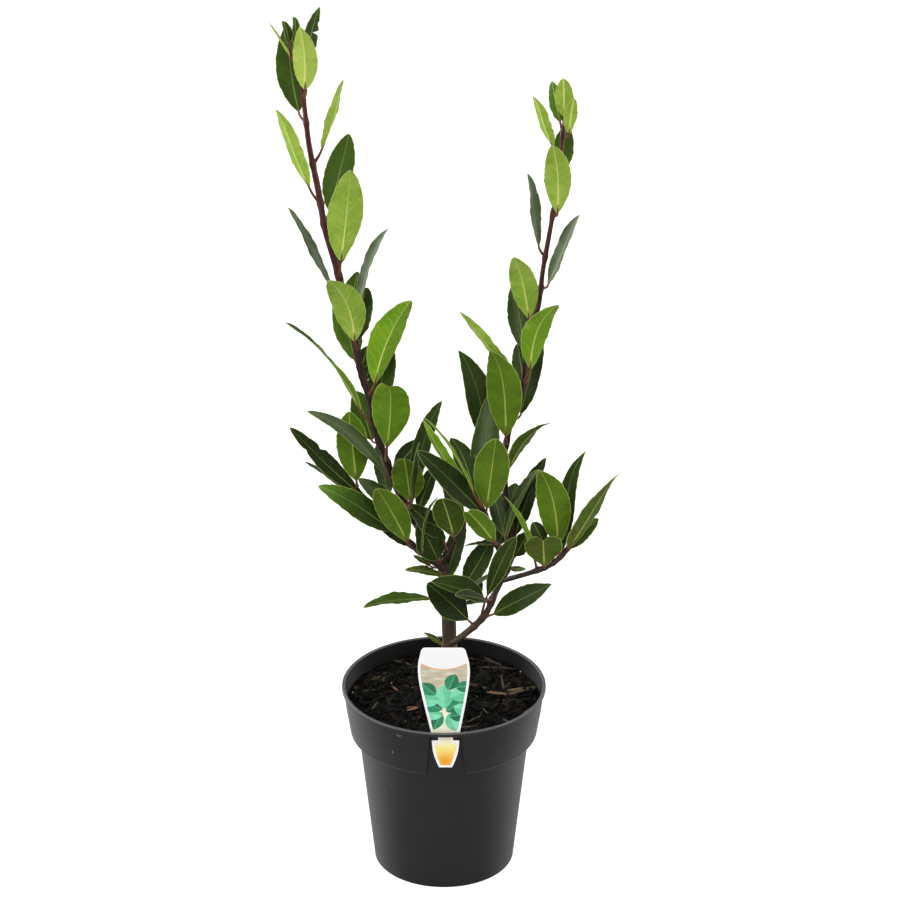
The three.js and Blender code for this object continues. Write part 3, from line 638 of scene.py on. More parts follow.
def wood(name, lines, nodes, material):
    """Round stems along their lines, swollen a little at each leaf's node and rounded off at the tip."""
    curve = bpy.data.curves.new(name, "CURVE")
    curve.dimensions = "3D"
    curve.bevel_depth = MM
    curve.bevel_resolution = 4
    curve.use_fill_caps = True
    for line in lines:
        rows = []
        for place, radius in line:
            swell = sum(math.exp(-(((place - node).length / WOOD.node_reach) ** 2)) for node in nodes)
            uneven = 1 + WOOD.uneven * noise.noise(place / 9)
            rows.append((place, radius * uneven + WOOD.node_swell * min(swell, 1)))
        heading = (line[-1][0] - line[-2][0]).normalized()
        end, end_radius = rows[-1]
        for reach, share in ((0.5, 0.87), (0.85, 0.53), (1.0, 0.15)):
            rows.append((end + heading * end_radius * reach, end_radius * share))
        spline = curve.splines.new("POLY")
        spline.points.add(len(rows) - 1)
        for point, (place, radius) in zip(spline.points, rows):
            point.co = (*(place * MM), 1)
            point.radius = radius
    stem = bpy.data.objects.new(name, curve)
    bpy.context.collection.objects.link(stem)
    select_only(stem)
    bpy.ops.object.convert(target="MESH")
    bpy.ops.object.mode_set(mode="EDIT")
    bpy.ops.mesh.select_all(action="SELECT")
    bpy.ops.mesh.remove_doubles(threshold=0.00002)
    face_outwards()
    smooth(stem, 60)
    stem.data.materials.append(material)
    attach(stem, "root")
    return stem


def bark(name, low, high, moss, moss_share, roughness, flush=0.0):
    """Thin young bark: long fine streaks, small pale pores, patches of green, redder towards the top."""
    material, shader, where = finish(name, roughness, specular=0.35)
    tones = mottled(stretched(where, (1.0, 1.0, 0.16)), 420.0, 2.2, low, high)
    patch = ease(noise_of(where, 26.0, 3.0), 0.56 - moss_share, 0.66 - moss_share)
    colour = mix_colour(times(patch, 0.7), tones["Colour"], moss)
    height = axes_of(where)["Z"]
    colour = mix_colour(ease(height, 0.42, 0.8, 0.0, flush), colour, (0.13, 0.02, 0.022))
    colour = mix_colour(ease(height, 0.26, 0.36, flush, 0.0), colour, (0.07, 0.05, 0.028))
    dots = ease(cells_of(where, 360.0)["Distance"], 0.1, 0.2, 0.5, 0.0)
    fill(shader, {"Base Color": mix_colour(dots, colour, (0.13, 0.1, 0.065))})
    bump(shader, plus(tones["Share"], dots), 0.55, 0.0005)
    return material


trunk_bark = bark(
    "trunk_bark", (0.022, 0.018, 0.009), (0.088, 0.068, 0.038), (0.055, 0.062, 0.02), 0.03, 0.6,
)
shoot_bark = bark(
    "shoot_bark", (0.009, 0.005, 0.0035), (0.05, 0.022, 0.014), (0.05, 0.034, 0.012), -0.06, 0.42, 0.55,
)

# Leaves of bay: leathery blades with a glossy dark upper side, a paler matt underside, a strong pale
# midrib, a thin pale margin and a short red stalk. `look` says how young, grey or brown each one is;
# the look dark is an old leaf's deep green made darker still as painted shade for leaves behind others.
LEAF = SimpleNamespace(
    columns=10, rows=60, thickness=0.42, base_taper=0.93, arch=0.05, wave=0.03, waves=2, crimp=0.014,
    crimps=6.5, ragged=0.6, end_half_width=0.2, stalk_reach=(3, 26),
)
LEAF_FORM = {
    "widest": 0.46, "tip_taper": 0.68, "cup": 0.22, "bow": 0, "hook": 0, "twist": 0, "curl": 0,
    "cleft": 0, "bites": (), "paler": 0, "stalk": 1.0,
}
# The grey share paints a sheen into a leaf's colour: the grey and silver looks stand in for the gloss
# those leaves catch.
LOOKS = {  # age, grey, brown
    "tender": (1.0, 0, 0), "young": (0.9, 0, 0), "fresh": (0.78, 0, 0), "light": (0.63, 0.03, 0),
    "mid": (0.52, 0.03, 0), "deep": (0.27, 0.06, 0), "dark": (0.08, 0.04, 0), "grey": (0.34, 0.46, 0),
    "silver": (0.34, 0.8, 0), "olive": (0.42, 0.12, 0.6),
}


def leaf(base, tip, width, turn, look, **form):
    """One leaf: foot and tip of its blade as (x, z, y), width, and turn about its midrib in degrees."""
    turn = math.radians(turn)
    form = {**LEAF_FORM, "arch": LEAF.arch * math.cos(turn) ** 2, **form}
    return SimpleNamespace(base=base, tip=tip, width=width, turn=turn, look=look, **form)


TRUNK_LEAVES = [
    leaf((2, 297, -9), (20, 365, 25), 20, -25, "deep"),
    leaf((-0.5, 304, -8), (-37, 311, -14), 14, 55, "olive", bow=1.5, paler=0.3),
    leaf((-12, 280, -4), (-77, 273, -16), 25, 65, "mid", bow=1.5, hook=-2),
    leaf((-1, 230, -8), (-19, 244, -12), 6, 40, "deep"),
]
TRUNK_SPUR_LEAVES = [
    leaf((20, 295.5, 0), (47, 347, 4), 23, -20, "deep", bow=1.5),
    leaf((25, 293, 2), (52, 309, 6), 9, -60, "grey"),
    leaf((27, 283, 6), (36, 300, 12), 14, -20, "dark"),
    leaf((15, 288, 4), (14, 301, 8), 10, 0, "grey"),
]


def leaf_frame(spec):
    """The blade's foot and length, and the ways along its midrib, up from its upper side, across it and
    to the side as it shows from the front."""
    start, end = seen(spec.base), seen(spec.tip)
    along = (end - start).normalized()
    to_eye = EYE - (start + end) / 2
    to_eye = (to_eye - along * to_eye.dot(along)).normalized()
    side = along.cross(to_eye)
    up = to_eye * math.cos(spec.turn) + side * math.sin(spec.turn)
    return start, (end - start).length, along, up, along.cross(up), side


def blade_point(spec, axes, u, v, lift):
    """A point of the blade, u across it from -1 to 1 and v along it from 0 to 1, and how far it lies
    from the midrib and from the edge."""
    start, length, along, up, across, side = axes
    hand = math.copysign(1, u)
    seed = spec.base[0] * 0.37 + spec.tip[1] * 0.11
    middle = 4 * v * (1 - v)
    warped = v ** (math.log(0.5) / math.log(spec.widest))
    taper = LEAF.base_taper * (1 - v) + spec.tip_taper * v
    outline = max(4 * warped * (1 - warped), 0) ** taper
    ragged = LEAF.ragged * noise.fractal(Vector((v * length / 4.5, seed, 4.1 * hand)), 0.6, 2.2, 2)
    half = max(spec.width / 2 * outline + ragged * min(outline * 2.5, 1), LEAF.end_half_width)
    for place, edge, depth, reach in spec.bites:
        if edge * u > 0:
            half -= half * depth * math.exp(-(((v - place) / reach) ** 2))
    out = u * half
    wave = LEAF.wave * math.sin(2 * math.pi * (LEAF.waves * v + 0.2 * u))
    crimp = LEAF.crimp * math.sin(2 * math.pi * (LEAF.crimps * v + seed + 0.25 * hand))
    rise = length * spec.arch * middle + spec.cup * abs(out) + lift - spec.curl * v**5
    rise += (wave + crimp) * spec.width * outline * u * u
    cleft = spec.cleft * math.exp(-((out / 2.5) ** 2)) * v**12
    twist = math.radians(spec.twist) * (v - 0.5)
    place = start + along * (length * v - cleft) + side * (spec.bow * middle + spec.hook * v**6)
    place += across * (out * math.cos(twist) - rise * math.sin(twist))
    place += up * (rise * math.cos(twist) + out * math.sin(twist))
    return place, out, (1 - abs(u)) * half


def shaped(master, points, plans, tones):
    """A copy of a master with its points moved and their marks written for the materials."""
    copy = master.copy()
    copy.data = master.data.copy()
    copy.data.vertices.foreach_set("co", [number * MM for point in points for number in point])
    set_attribute(copy.data, "plan", plans)
    set_attribute(copy.data, "tone", tones)
    bpy.context.collection.objects.link(copy)
    return copy


def leaf_root(spec, line):
    """Where on the middle of the stem the leaf's stalk grows from, and how thick the stem is there."""
    start, _, along, *_ = leaf_frame(spec)
    nearest, farthest = LEAF.stalk_reach

    def strain(row):
        stalk_way = start - row[0]
        return stalk_way.length + 4.5 * stalk_way.cross(along).length

    in_reach = [row for row in line if nearest < (start - row[0]).length < farthest]
    return min(in_reach or line, key=strain)


def one_leaf(spec, line):
    """The blade, the stalk and the bud of one leaf, as three objects still to be joined."""
    axes = leaf_frame(spec)
    start, length, along, up, across, _ = axes
    age, grey, brown = LOOKS[spec.look]
    points, plans, tones = [], [], []
    for vertex in blade.data.vertices:
        u, v, side = vertex.co
        _, off_rib, _ = blade_point(spec, axes, u, v, 0)
        rib = math.exp(-((off_rib / 1.0) ** 2)) * (1 - 0.75 * v)
        lift = LEAF.thickness / 2 + 0.08 * rib if side > 0 else -LEAF.thickness / 2 - 0.55 * rib
        point, off_rib, to_edge = blade_point(spec, axes, u, v, lift)
        points.append(point)
        plans.append((off_rib, length * v, to_edge))
        tones.append((age + spec.paler * v * v, grey, brown))
    parts = [shaped(blade, points, plans, tones)]

    root, stem_radius = leaf_root(spec, line)
    elbow = start - along * (start - root).length * 0.4
    points, plans = [], []
    for vertex in stalk.data.vertices:
        t = vertex.co.z * 1.35
        if t <= 1:
            middle = root * (1 - t) ** 2 + elbow * 2 * t * (1 - t) + start * t**2
            radius = spec.stalk * (1.1 + 0.9 * (1 - t) ** 2)
        else:
            middle, _, _ = blade_point(spec, axes, 0, (t - 1) * 0.4, -0.35)
            radius = spec.stalk * (1.0 - 2.2 * (t - 1))
        points.append(middle + (across * vertex.co.x + up * vertex.co.y) * radius)
        plans.append((0, t * 10, 0))
    plain = [(age, grey, brown)]
    parts.append(shaped(stalk, points, plans, plain * len(points)))

    out = (start - root).normalized()
    line_end = line[min(line.index((root, stem_radius)) + 2, len(line) - 1)][0]
    stem_up = (line_end - root).normalized() if (line_end - root).length > 0.1 else along
    seat = root + (out - stem_up * out.dot(stem_up)).normalized() * (stem_radius + 0.3) + stem_up * 2.4
    axis = (stem_up * 2 + out).normalized()
    side_a = axis.orthogonal().normalized()
    side_b = axis.cross(side_a)
    points = []
    for vertex in bud.data.vertices:
        round_axis = side_a * vertex.co.x + side_b * vertex.co.y
        points.append(seat + round_axis * 0.85 + axis * (vertex.co.z * 1.7))
    parts.append(shaped(bud, points, [(0, 2, 0)] * len(points), plain * len(points)))
    return parts


def leaves(name, specs, lines, replaced):
    """All the leaves of one shoot as one piece; `lines` gives the stem that each of them grows on."""
    parts = []
    for spec, line in zip(specs, lines):
        parts += one_leaf(spec, line)
    select_only(*parts)
    bpy.ops.object.join()
    joined = bpy.context.object
    joined.name = name
    smooth(joined, 55)
    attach(joined, "root")
    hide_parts(replaced)


# Midrib, side veins, fine net and margin of a blade, from the distances in mm across it, along it and
# to its edge.
VEIN_PACE = 9.2
blade_marks, entry, leave = new_group(
    "blade_marks", {"Plan": "Vector", "Rib Width": "Float"},
    dict.fromkeys(("Midrib", "Veins", "Net", "Margin", "Red Foot"), "Float"),
)
plan = axes_of(entry["Plan"])
off_rib = maths("ABSOLUTE", plan["X"])
rib_width = plus(entry["Rib Width"], times(plan["Y"], -0.009))
rib_share = maths("DIVIDE", off_rib, maths("MAXIMUM", rib_width, 0.2))
wobble = times(noise_of(entry["Plan"], 0.075, 2.0), 1.6)
leaning = plus(times(off_rib, 0.7), times(maths("POWER", off_rib, 2.0), 0.022))
side_step = times(maths("GREATER_THAN", plan["X"], 0.0), 0.5)
phase = plus(maths("DIVIDE", minus(plan["Y"], leaning), VEIN_PACE), side_step)
phase = maths("FRACT", plus(plus(phase, wobble), 20.0))
from_vein = maths("ABSOLUTE", minus(phase, 0.5))
inner = ease(plan["Z"], 0.4, 3.0)
net = cells_of(entry["Plan"], 0.7, feature="DISTANCE_TO_EDGE")["Distance"]
fill(leave, {
    "Midrib": ease(rib_share, 0.6, 1.25, 1.0, 0.0),
    "Veins": times(ease(from_vein, 0.012, 0.05, 1.0, 0.0), inner),
    "Net": ease(net, 0.02, 0.14, 1.0, 0.0),
    "Margin": ease(plan["Z"], 0.3, 0.8, 1.0, 0.0),
    "Red Foot": ease(plan["Y"], 2.0, 11.0, 1.0, 0.0),
})


def blade_side(name, ages, grey, rib, young_rib, margin, rib_width, vein_share, roughness, specular,
               relief):
    """One side of the leaf: green by age, then a painted grey sheen and brown, then veins, midrib and
    margin.
    """
    material, shader, where = finish(name, roughness, specular)
    plan = add_node("Attribute", {}, shader, attribute_name="plan")["Vector"]
    tone = add_node("Attribute", {}, shader, attribute_name="tone")["Color"]
    age, grey_sheen_share, brownness = add_node("SeparateColor", {"Color": tone})
    marks = use_group(blade_marks, {"Plan": plan, "Rib Width": rib_width})
    patch = noise_of(where, 55.0)
    uneven = minus(patch, 0.5)
    green = add_node("ValToRGB", {"Fac": plus(age, times(uneven, 0.3))})["Color"]
    stops = green.node.color_ramp.elements
    while len(stops) < len(ages):
        stops.new(0.5)
    for stop, (place, colour) in zip(stops, ages):
        stop.position = place
        stop.color = (*colour, 1)
    # Painted sheen: grey mixed into the green, strongest along the midrib and fading towards the margin.
    sheen = ease(maths("ABSOLUTE", axes_of(plan)["X"]), 1.5, 8.5, 1.3, 0.35)
    sheen = times(times(sheen, grey_sheen_share), ease(patch, 0.3, 0.6, 0.75, 1.1))
    colour = mix_colour(maths("MINIMUM", sheen, 1.0), green, grey)
    colour = mix_colour(times(brownness, ease(patch, 0.4, 0.62)), colour, (0.085, 0.07, 0.022))
    spots = ease(cells_of(where, 70.0)["Distance"], 0.045, 0.085, 0.8, 0.0)
    colour = mix_colour(times(spots, ease(patch, 0.5, 0.56)), colour, (0.1, 0.06, 0.02))
    rib = mix_colour(ease(age, 0.55, 0.95), rib, young_rib)
    reddened = mix_colour(times(marks["Red Foot"], 0.85), rib, (0.3, 0.085, 0.022))
    veined = ease(age, 0.5, 0.95, vein_share, vein_share * 2.8)
    colour = mix_colour(times(marks["Net"], vein_share * 0.35), colour, rib)
    colour = mix_colour(times(marks["Veins"], veined), colour, rib)
    colour = mix_colour(times(marks["Midrib"], ease(age, 0.1, 0.9, 0.7, 0.95)), colour, reddened)
    fill(shader, {
        "Base Color": mix_colour(times(marks["Margin"], 0.7), colour, margin),
        "Roughness": plus(times(uneven, 0.25), roughness),
        "Coat Weight": times(grey_sheen_share, 0.1), "Coat Roughness": 0.3,
    })
    bump(shader, plus(times(marks["Veins"], relief), marks["Net"]), 0.35, 0.0003)
    return material


leaf_upper = blade_side(
    "leaf_upper_side",
    ages=[(0.0, (0.011, 0.02, 0.004)), (0.3, (0.021, 0.044, 0.004)), (0.52, (0.037, 0.08, 0.003)),
          (0.78, (0.08, 0.18, 0.01)), (1.0, (0.17, 0.29, 0.03))],
    grey=(0.1, 0.14, 0.066), rib=(0.22, 0.3, 0.06), young_rib=(0.45, 0.55, 0.15),
    margin=(0.32, 0.4, 0.1), rib_width=0.7, vein_share=0.11, roughness=0.42, specular=0.1, relief=-1.0,
)
leaf_under = blade_side(
    "leaf_under_side",
    ages=[(0.0, (0.024, 0.046, 0.003)), (0.3, (0.038, 0.078, 0.003)), (0.52, (0.095, 0.187, 0.009)),
          (0.78, (0.157, 0.333, 0.01)), (1.0, (0.415, 0.565, 0.09))],
    grey=(0.12, 0.16, 0.08), rib=(0.52, 0.57, 0.11), young_rib=(0.74, 0.78, 0.24),
    margin=(0.5, 0.58, 0.17), rib_width=0.95, vein_share=0.15, roughness=0.5, specular=0.07, relief=1.0,
)
leaf_stalk, shader, where = finish("leaf_stalk", 0.42, specular=0.4)
tones = mottled(where, 260.0, 2.0, (0.07, 0.016, 0.01), (0.24, 0.065, 0.03))
fill(shader, {"Base Color": tones["Colour"]})
bump(shader, tones["Share"], 0.3, 0.0003)

# One flat blade of unit size: finer near the midrib and at both ends, with its two sides marked.
blade = fresh(bpy.ops.mesh.primitive_grid_add, "blade_master", x_subdivisions=LEAF.columns,
              y_subdivisions=LEAF.rows, size=2.0)
sheet = blade.modifiers.new("sheet", "SOLIDIFY")
sheet.thickness = 1.0
sheet.offset = 0.0
bpy.ops.object.modifier_apply(modifier=sheet.name)
for vertex in blade.data.vertices:
    vertex.co.x = math.copysign(abs(vertex.co.x) ** 1.5, vertex.co.x)
    evenly = (vertex.co.y + 1) / 2
    vertex.co.y = 0.65 * evenly + 0.35 * (1 - math.cos(math.pi * evenly)) / 2
# The stalk starts as a plain bar one unit long, and the bud as a pointed egg.
stalk = turned("stalk_master", [(1 / MM, k / 7 / MM) for k in range(8)], 8)
bud = fresh(bpy.ops.mesh.primitive_uv_sphere_add, "bud_master", segments=8, ring_count=6, radius=1.0)
for vertex in bud.data.vertices:
    vertex.co.x *= 1 - 0.45 * max(vertex.co.z, 0)
    vertex.co.y *= 1 - 0.45 * max(vertex.co.z, 0)
for master in (blade, stalk, bud):
    for material in (leaf_upper, leaf_under, leaf_stalk):
        master.data.materials.append(material)
    for side in master.data.polygons:
        side.material_index = int(side.normal.z < -0.5) if master is blade else 2

trunk_line = stem_line(TRUNK_ROUTE)
spur_line = stem_line(TRUNK_SPUR_ROUTE)
trunk_lines = [trunk_line] * len(TRUNK_LEAVES) + [spur_line] * len(TRUNK_SPUR_LEAVES)
trunk_specs = TRUNK_LEAVES + TRUNK_SPUR_LEAVES
trunk_nodes = [leaf_root(spec, line)[0] for spec, line in zip(trunk_specs, trunk_lines)]
trunk = wood("trunk_wood", [trunk_line, spur_line], trunk_nodes, trunk_bark)
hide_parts("trunk")
leaves("trunk_leaves", trunk_specs, trunk_lines, "trunk")


def grow(name, route, specs, material):
    """One shoot: its wood, and its leaves as a second piece, in place of the node of the same name."""
    line = stem_line(route)
    stem = wood(name + "_wood", [line], [leaf_root(spec, line)[0] for spec in specs], material)
    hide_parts(name)
    leaves(name + "_leaves", specs, [line] * len(specs), name)


# ---- The left leader ----
# The taller of two straight leading shoots, from the top of the trunk, maroon and smooth. Its leaves
# stand alternately up it, pale and upright near the top, where the youngest are still folded.
LEFT_LEADER_ROUTE = [
    (-1, 316, 2, 4.6), (-9, 333, 8, 4.4), (-29, 366, 14, 4), (-45, 400, 12, 3.6), (-54, 427, 10, 3.4),
    (-61.5, 450, 9, 3.3), (-69, 490, 10, 3.25), (-77, 520, 12, 3.25), (-81.5, 548, 12, 3.2),
    (-91, 592, 12, 3.2), (-100, 630, 12, 3.2), (-107.8, 660, 12, 3.1), (-114, 700, 12, 2.9),
    (-121, 740, 13, 2.6), (-125, 780, 15, 2.1), (-129, 815, 18, 1.3),
]
LEFT_LEADER_LEAVES = [
    leaf((-124, 794, 12), (-127.5, 853, -8), 22.5, 170, "tender", widest=0.41, tip_taper=0.8, bow=1.5),
    leaf((-130, 773, 20), (-139, 854, 52), 29, 15, "mid", bow=-3),
    leaf((-136.5, 825, 14), (-155, 857, 10), 8, 100, "fresh"),
    leaf((-133, 838, 18), (-131, 861, 20), 8, 20, "mid", tip_taper=0.35, cup=0.7, curl=5),
    leaf((-138, 838, 12), (-141, 857, 8), 9, 30, "deep", tip_taper=0.35, cup=0.7, curl=4),
    leaf(
        (-124, 806, 20), (-111, 872, 52), 14, -10, "deep", bow=-1, hook=1.5, tip_taper=0.75,
        bites=[  # place along the blade, side, depth, reach
            (0.62, 1, 0.85, 0.018), (0.38, 1, 0.95, 0.02), (0.75, 1, 0.25, 0.04), (0.5, -1, 0.3, 0.05),
        ],
    ),
    leaf((-109.5, 738, 8), (-92.5, 804, -20), 22, -112, "young", bow=3.5, hook=3),
    leaf((-121.5, 700, 6), (-145.5, 777, -12), 20, 132, "young", bow=-4, hook=-5),
    leaf((-104, 677, 18), (-85, 752, 58), 27, -15, "mid", bow=1.5),
    leaf((-94, 628, 2), (-84.5, 717, -22), 33, -165, "young", bow=2, tip_taper=0.72),
    leaf((-103, 602, 14), (-138.5, 682, 20), 20, 67, "silver", bow=-2, hook=-3),
    leaf((-78.5, 583, 16), (-54.5, 661, 24), 23, -68, "grey", bow=-1.8, hook=4),
    leaf((-87, 563, 20), (-79, 618, 68), 20, -10, "mid"),
    leaf((-82, 546, 16), (-70, 602, 56), 25, -20, "deep"),
    leaf((-82, 548, 2), (-105, 609, -38), 30, 165, "young", bow=5.5),
    leaf((-82, 529, 16), (-99, 590, 52), 26, 20, "fresh"),
    leaf((-76, 520, 18), (-70, 544, 28), 12, -20, "dark"),
    leaf((-64, 505, 0), (-30, 589, -22), 30, -155, "fresh", bow=-3.4, cup=0.5),
    leaf((-77, 476, 6), (-145, 568, 2), 17, 96, "mid", bow=8, twist=60, hook=-1),
    leaf((-62, 482, 16), (-49, 546, 44), 25, -15, "mid"),
    leaf((-53.5, 438, -2), (-50, 504, -30), 36, 175, "light", widest=0.56, tip_taper=0.32, bow=1.5,
         cleft=2.5, stalk=1.3),
    leaf((-67, 447, 12), (-82, 498, 44), 26, 15, "mid"),
    leaf((-55, 412, 0), (-126, 479, -40), 17, 38, "grey", bow=5, hook=-2),
    leaf((-53, 388, 20), (-62, 445, 52), 18, 15, "grey"),
    leaf((-31.5, 384, 2), (-37, 428, -14), 31, 168, "mid", tip_taper=0.4, cup=0.1,
         bites=((0.93, -1, 0.4, 0.04),)),
    leaf((-30, 380, -10), (-26, 445, -20), 15, 70, "deep", bow=-1.5, hook=3),
    leaf((-28, 399, 16), (-5.5, 489, 24), 19, -25, "deep", bow=-0.6, hook=4),
    leaf((-24, 374, 8), (-7, 423, 20), 16, -20, "deep"),
    leaf((-46, 416, 14), (-22, 448, 34), 18, -10, "dark"),
    leaf((-97, 622, 16), (-90, 694, 70), 24, -5, "deep"),
    leaf((-57, 445, 12), (-50, 500, 66), 24, 0, "deep"),
    leaf((-73, 508, 14), (-44, 572, 62), 22, -20, "deep"),
]
grow("left_leader", LEFT_LEADER_ROUTE, LEFT_LEADER_LEAVES, shoot_bark)

# ---- The right leader ----
# It leaves the trunk just above the mix, bends out and then climbs beside the first, and ends in a
# tight group of young leaves.
RIGHT_LEADER_ROUTE = [
    (4, 230, -2, 3.2), (13, 236.5, -11, 3.2), (23.5, 245.5, -12, 3.2), (33, 255, -12, 3.1),
    (41.5, 267, -11, 3.1), (47.5, 283, -9, 3), (53, 296, -7, 3), (61, 314, -2, 2.9), (65, 335, 5, 2.9),
    (60, 375, 11, 2.8), (57, 420, 12, 2.7), (58, 440, 12, 2.7), (64, 470, 12, 2.6), (74, 505, 10, 2.6),
    (77, 545, 8, 2.5), (87, 582, 6, 2.4), (91, 620, 4, 2.3), (96.5, 655, 3, 2.2), (101, 685, 2, 2),
    (105.5, 725, 1, 1.8), (108, 758, 0, 1.6), (109, 772, 0, 1.4),
]
RIGHT_LEADER_LEAVES = [
    leaf((108.5, 768, -4), (107.5, 804.5, -8), 17, 178, "young"),
    leaf((105, 763, 4), (97, 802, 14), 14, 20, "fresh", bow=-1),
    leaf((113, 752, -6), (117, 786, -16), 13, -160, "young"),
    leaf((99, 739, 2), (85, 789, -18), 16, 132, "young", bow=-3.4, hook=-5),
    leaf((106, 713, 8), (111, 760, 40), 20, -10, "mid"),
    leaf((103.5, 675, -6), (98.5, 741, -34), 24, 178, "young", bow=2.6),
    leaf((87, 643, 4), (81, 714, 16), 20, 62, "grey", bow=-2.8, hook=-5),
    leaf((95.5, 604, 2), (120, 675, 6), 22, -62, "silver", bow=1.8, hook=4),
    leaf((78.5, 571, -2), (64.5, 632, -38), 25, 168, "young", bow=1.4, tip_taper=0.75),
    leaf((80.5, 520, -2), (102, 586, -36), 25, -158, "fresh", bow=-5, hook=4),
    leaf((74, 540, 12), (64, 606, 44), 24, 15, "grey"),
    leaf((74, 502, 14), (68, 546, 38), 18, 15, "deep"),
    leaf((72, 474, 16), (91, 550, 44), 21, -20, "deep"),
    leaf((67, 510, 6), (17, 580, -2), 20, 118, "young", bow=-2.5, hook=-3),
    leaf((42.5, 440, 14), (20.5, 541, 30), 28, 18, "deep", bow=0.4, hook=-7, tip_taper=0.8),
    leaf((58, 451, 0), (49.5, 540, -18), 33, 175, "mid", bow=2.2, hook=-7, tip_taper=0.84),
    leaf((61, 417, 6), (95.5, 469, -16), 20, -122, "olive", bow=-3, hook=6),
    leaf((57, 347, 5), (44, 400, 35), 18, 20, "grey"),
    leaf((53, 338, 14), (68, 403, 54), 28, -5, "deep"),
    leaf((58, 341, -1), (89, 417, -1), 22, -75, "grey", bow=-2.2, cup=0.6),
    leaf((68, 348, 10), (94, 430, 16), 20, -30, "dark", hook=2),
    leaf((40.5, 281, -16), (66, 348, -31), 18, -10, "deep", widest=0.6, hook=3),
    leaf((68, 326, 4), (82, 352, 8), 18, -25, "dark"),
    leaf((56, 337, -8), (20, 337, -10), 10, 70, "dark", bow=1.5),
    leaf((63, 312.5, -4), (78, 312.5, -8), 6, 0, "grey", arch=0.2),
    leaf((47.5, 264, -14), (103.5, 295.5, -34), 24, -25, "deep", bow=0.6, hook=-1, tip_taper=0.95),
    leaf((23.7, 257, -15), (-16, 297, -29), 32, 15, "dark", widest=0.56),
    leaf((38, 281, -18), (-12, 299, -54), 22, 30, "deep", cup=0.6),
    leaf((40, 279, -23), (11, 284, -62), 16, 50, "dark"),
    leaf((38, 277, -8), (14, 274, -4), 12, 70, "dark"),
    leaf((60, 452, 16), (50, 525, 68), 22, 5, "deep"),
    leaf((82, 568, 10), (70, 626, 58), 20, 10, "deep"),
    leaf((101, 682, 4), (99, 735, 50), 18, 0, "deep"),
]
grow("right_leader", RIGHT_LEADER_ROUTE, RIGHT_LEADER_LEAVES, shoot_bark)

# ---- The low left shoot ----
# A thin side shoot from the head of the trunk. It rises outwards on the left, with leaves all along.
LEFT_LOW_ROUTE = [
    (-1, 315, -4, 3.8), (-10, 320, -8, 3.1), (-25, 333, -12, 2.7), (-37, 346, -13, 2.5),
    (-50, 357, -13, 2.4), (-66, 375, -12, 2.1), (-82, 397, -10, 1.8),
]
LEFT_LOW_LEAVES = [
    leaf((-82, 405, -10), (-88.5, 477, -14), 30, 180, "mid"),
    leaf((-80, 393, -12), (-142.5, 462, -20), 19, 30, "dark", bow=-4.2, hook=-2,
         bites=((0.62, 1, 0.3, 0.03), (0.74, -1, 0.35, 0.025))),
    leaf((-78, 388, -4), (-129, 426.5, 0), 15, 70, "grey", bow=-1.8, hook=-2),
    leaf((-50, 353, -17), (-117, 402, -38), 24, 15, "deep", bow=1.3, hook=-2, paler=0.65),
    leaf((-38, 365, -6), (-80.5, 407.5, -26), 21, 30, "grey"),
    leaf((-34.5, 341, -20), (-63, 397, -67), 28, 163, "mid"),
    leaf((-34, 337, -4), (-74, 373, -6), 20, 25, "deep", bow=2.5),
    leaf((-12, 315, 0), (-29, 327, 6), 5, 20, "deep"),
    leaf((-20, 331, -21), (-9, 389, -20), 14, -88, "deep", bow=-3, hook=4),
]
grow("left_low_shoot", LEFT_LOW_ROUTE, LEFT_LOW_LEAVES, shoot_bark)

# ---- The short shoot left of the middle ----
# A thin upright shoot from the head of the trunk, leaning a little towards the front, with four
# leaves.
CENTRE_LEFT_ROUTE = [
    (0, 318, -4, 2.3), (1.5, 324, -9, 2.2), (5.5, 332, -13, 2), (13.5, 349, -17, 1.8),
    (19.3, 362, -18, 1.6), (17, 380, -20, 1.4),
]
CENTRE_LEFT_LEAVES = [
    leaf((9.5, 346, -25), (-1.5, 387, -51), 30, 165, "deep"),
    leaf((-3, 346, -1), (-33, 380, 2), 23, 30, "dark"),
    leaf((-6, 322, -8), (-24, 362, -4), 33, 25, "deep"),
    leaf((15, 366, -8), (0, 408, 16), 16, 20, "grey"),
]
grow("centre_left_shoot", CENTRE_LEFT_ROUTE, CENTRE_LEFT_LEAVES, shoot_bark)

# ---- The middle shoot ----
# A side shoot of the right leader that leans back towards the middle of the plant and fills the gap
# between the two leaders.
CENTRE_ROUTE = [
    (61.5, 316, -3, 2.6), (56, 324, -15, 2.4), (47, 345, -25, 2.1), (39.5, 370, -30, 1.8),
    (36, 378, -31, 1.5),
]
CENTRE_LEAVES = [
    leaf((40.5, 376, -32), (49, 449, -64), 33, -178, "mid"),
    leaf((48, 340.5, -31), (22, 374, -61), 21, 160, "mid", tip_taper=0.4, cleft=1.5, stalk=1.3),
    leaf((36, 372, -26), (-25, 437, -34), 24, 20, "dark"),
    leaf((29, 390, -34), (-17, 473, -32), 16, 88, "fresh", bow=4, hook=-3),
    leaf((28, 396, -17), (9, 451, 8), 22, 20, "deep", arch=0.1, hook=-3),
    leaf((27, 388, -20), (-19, 468, -10), 17, 125, "fresh", bow=-3.5),
    leaf((36, 381, -5), (45, 499, 14), 27, 10, "silver", bow=-3),
]
grow("centre_shoot", CENTRE_ROUTE, CENTRE_LEAVES, shoot_bark)

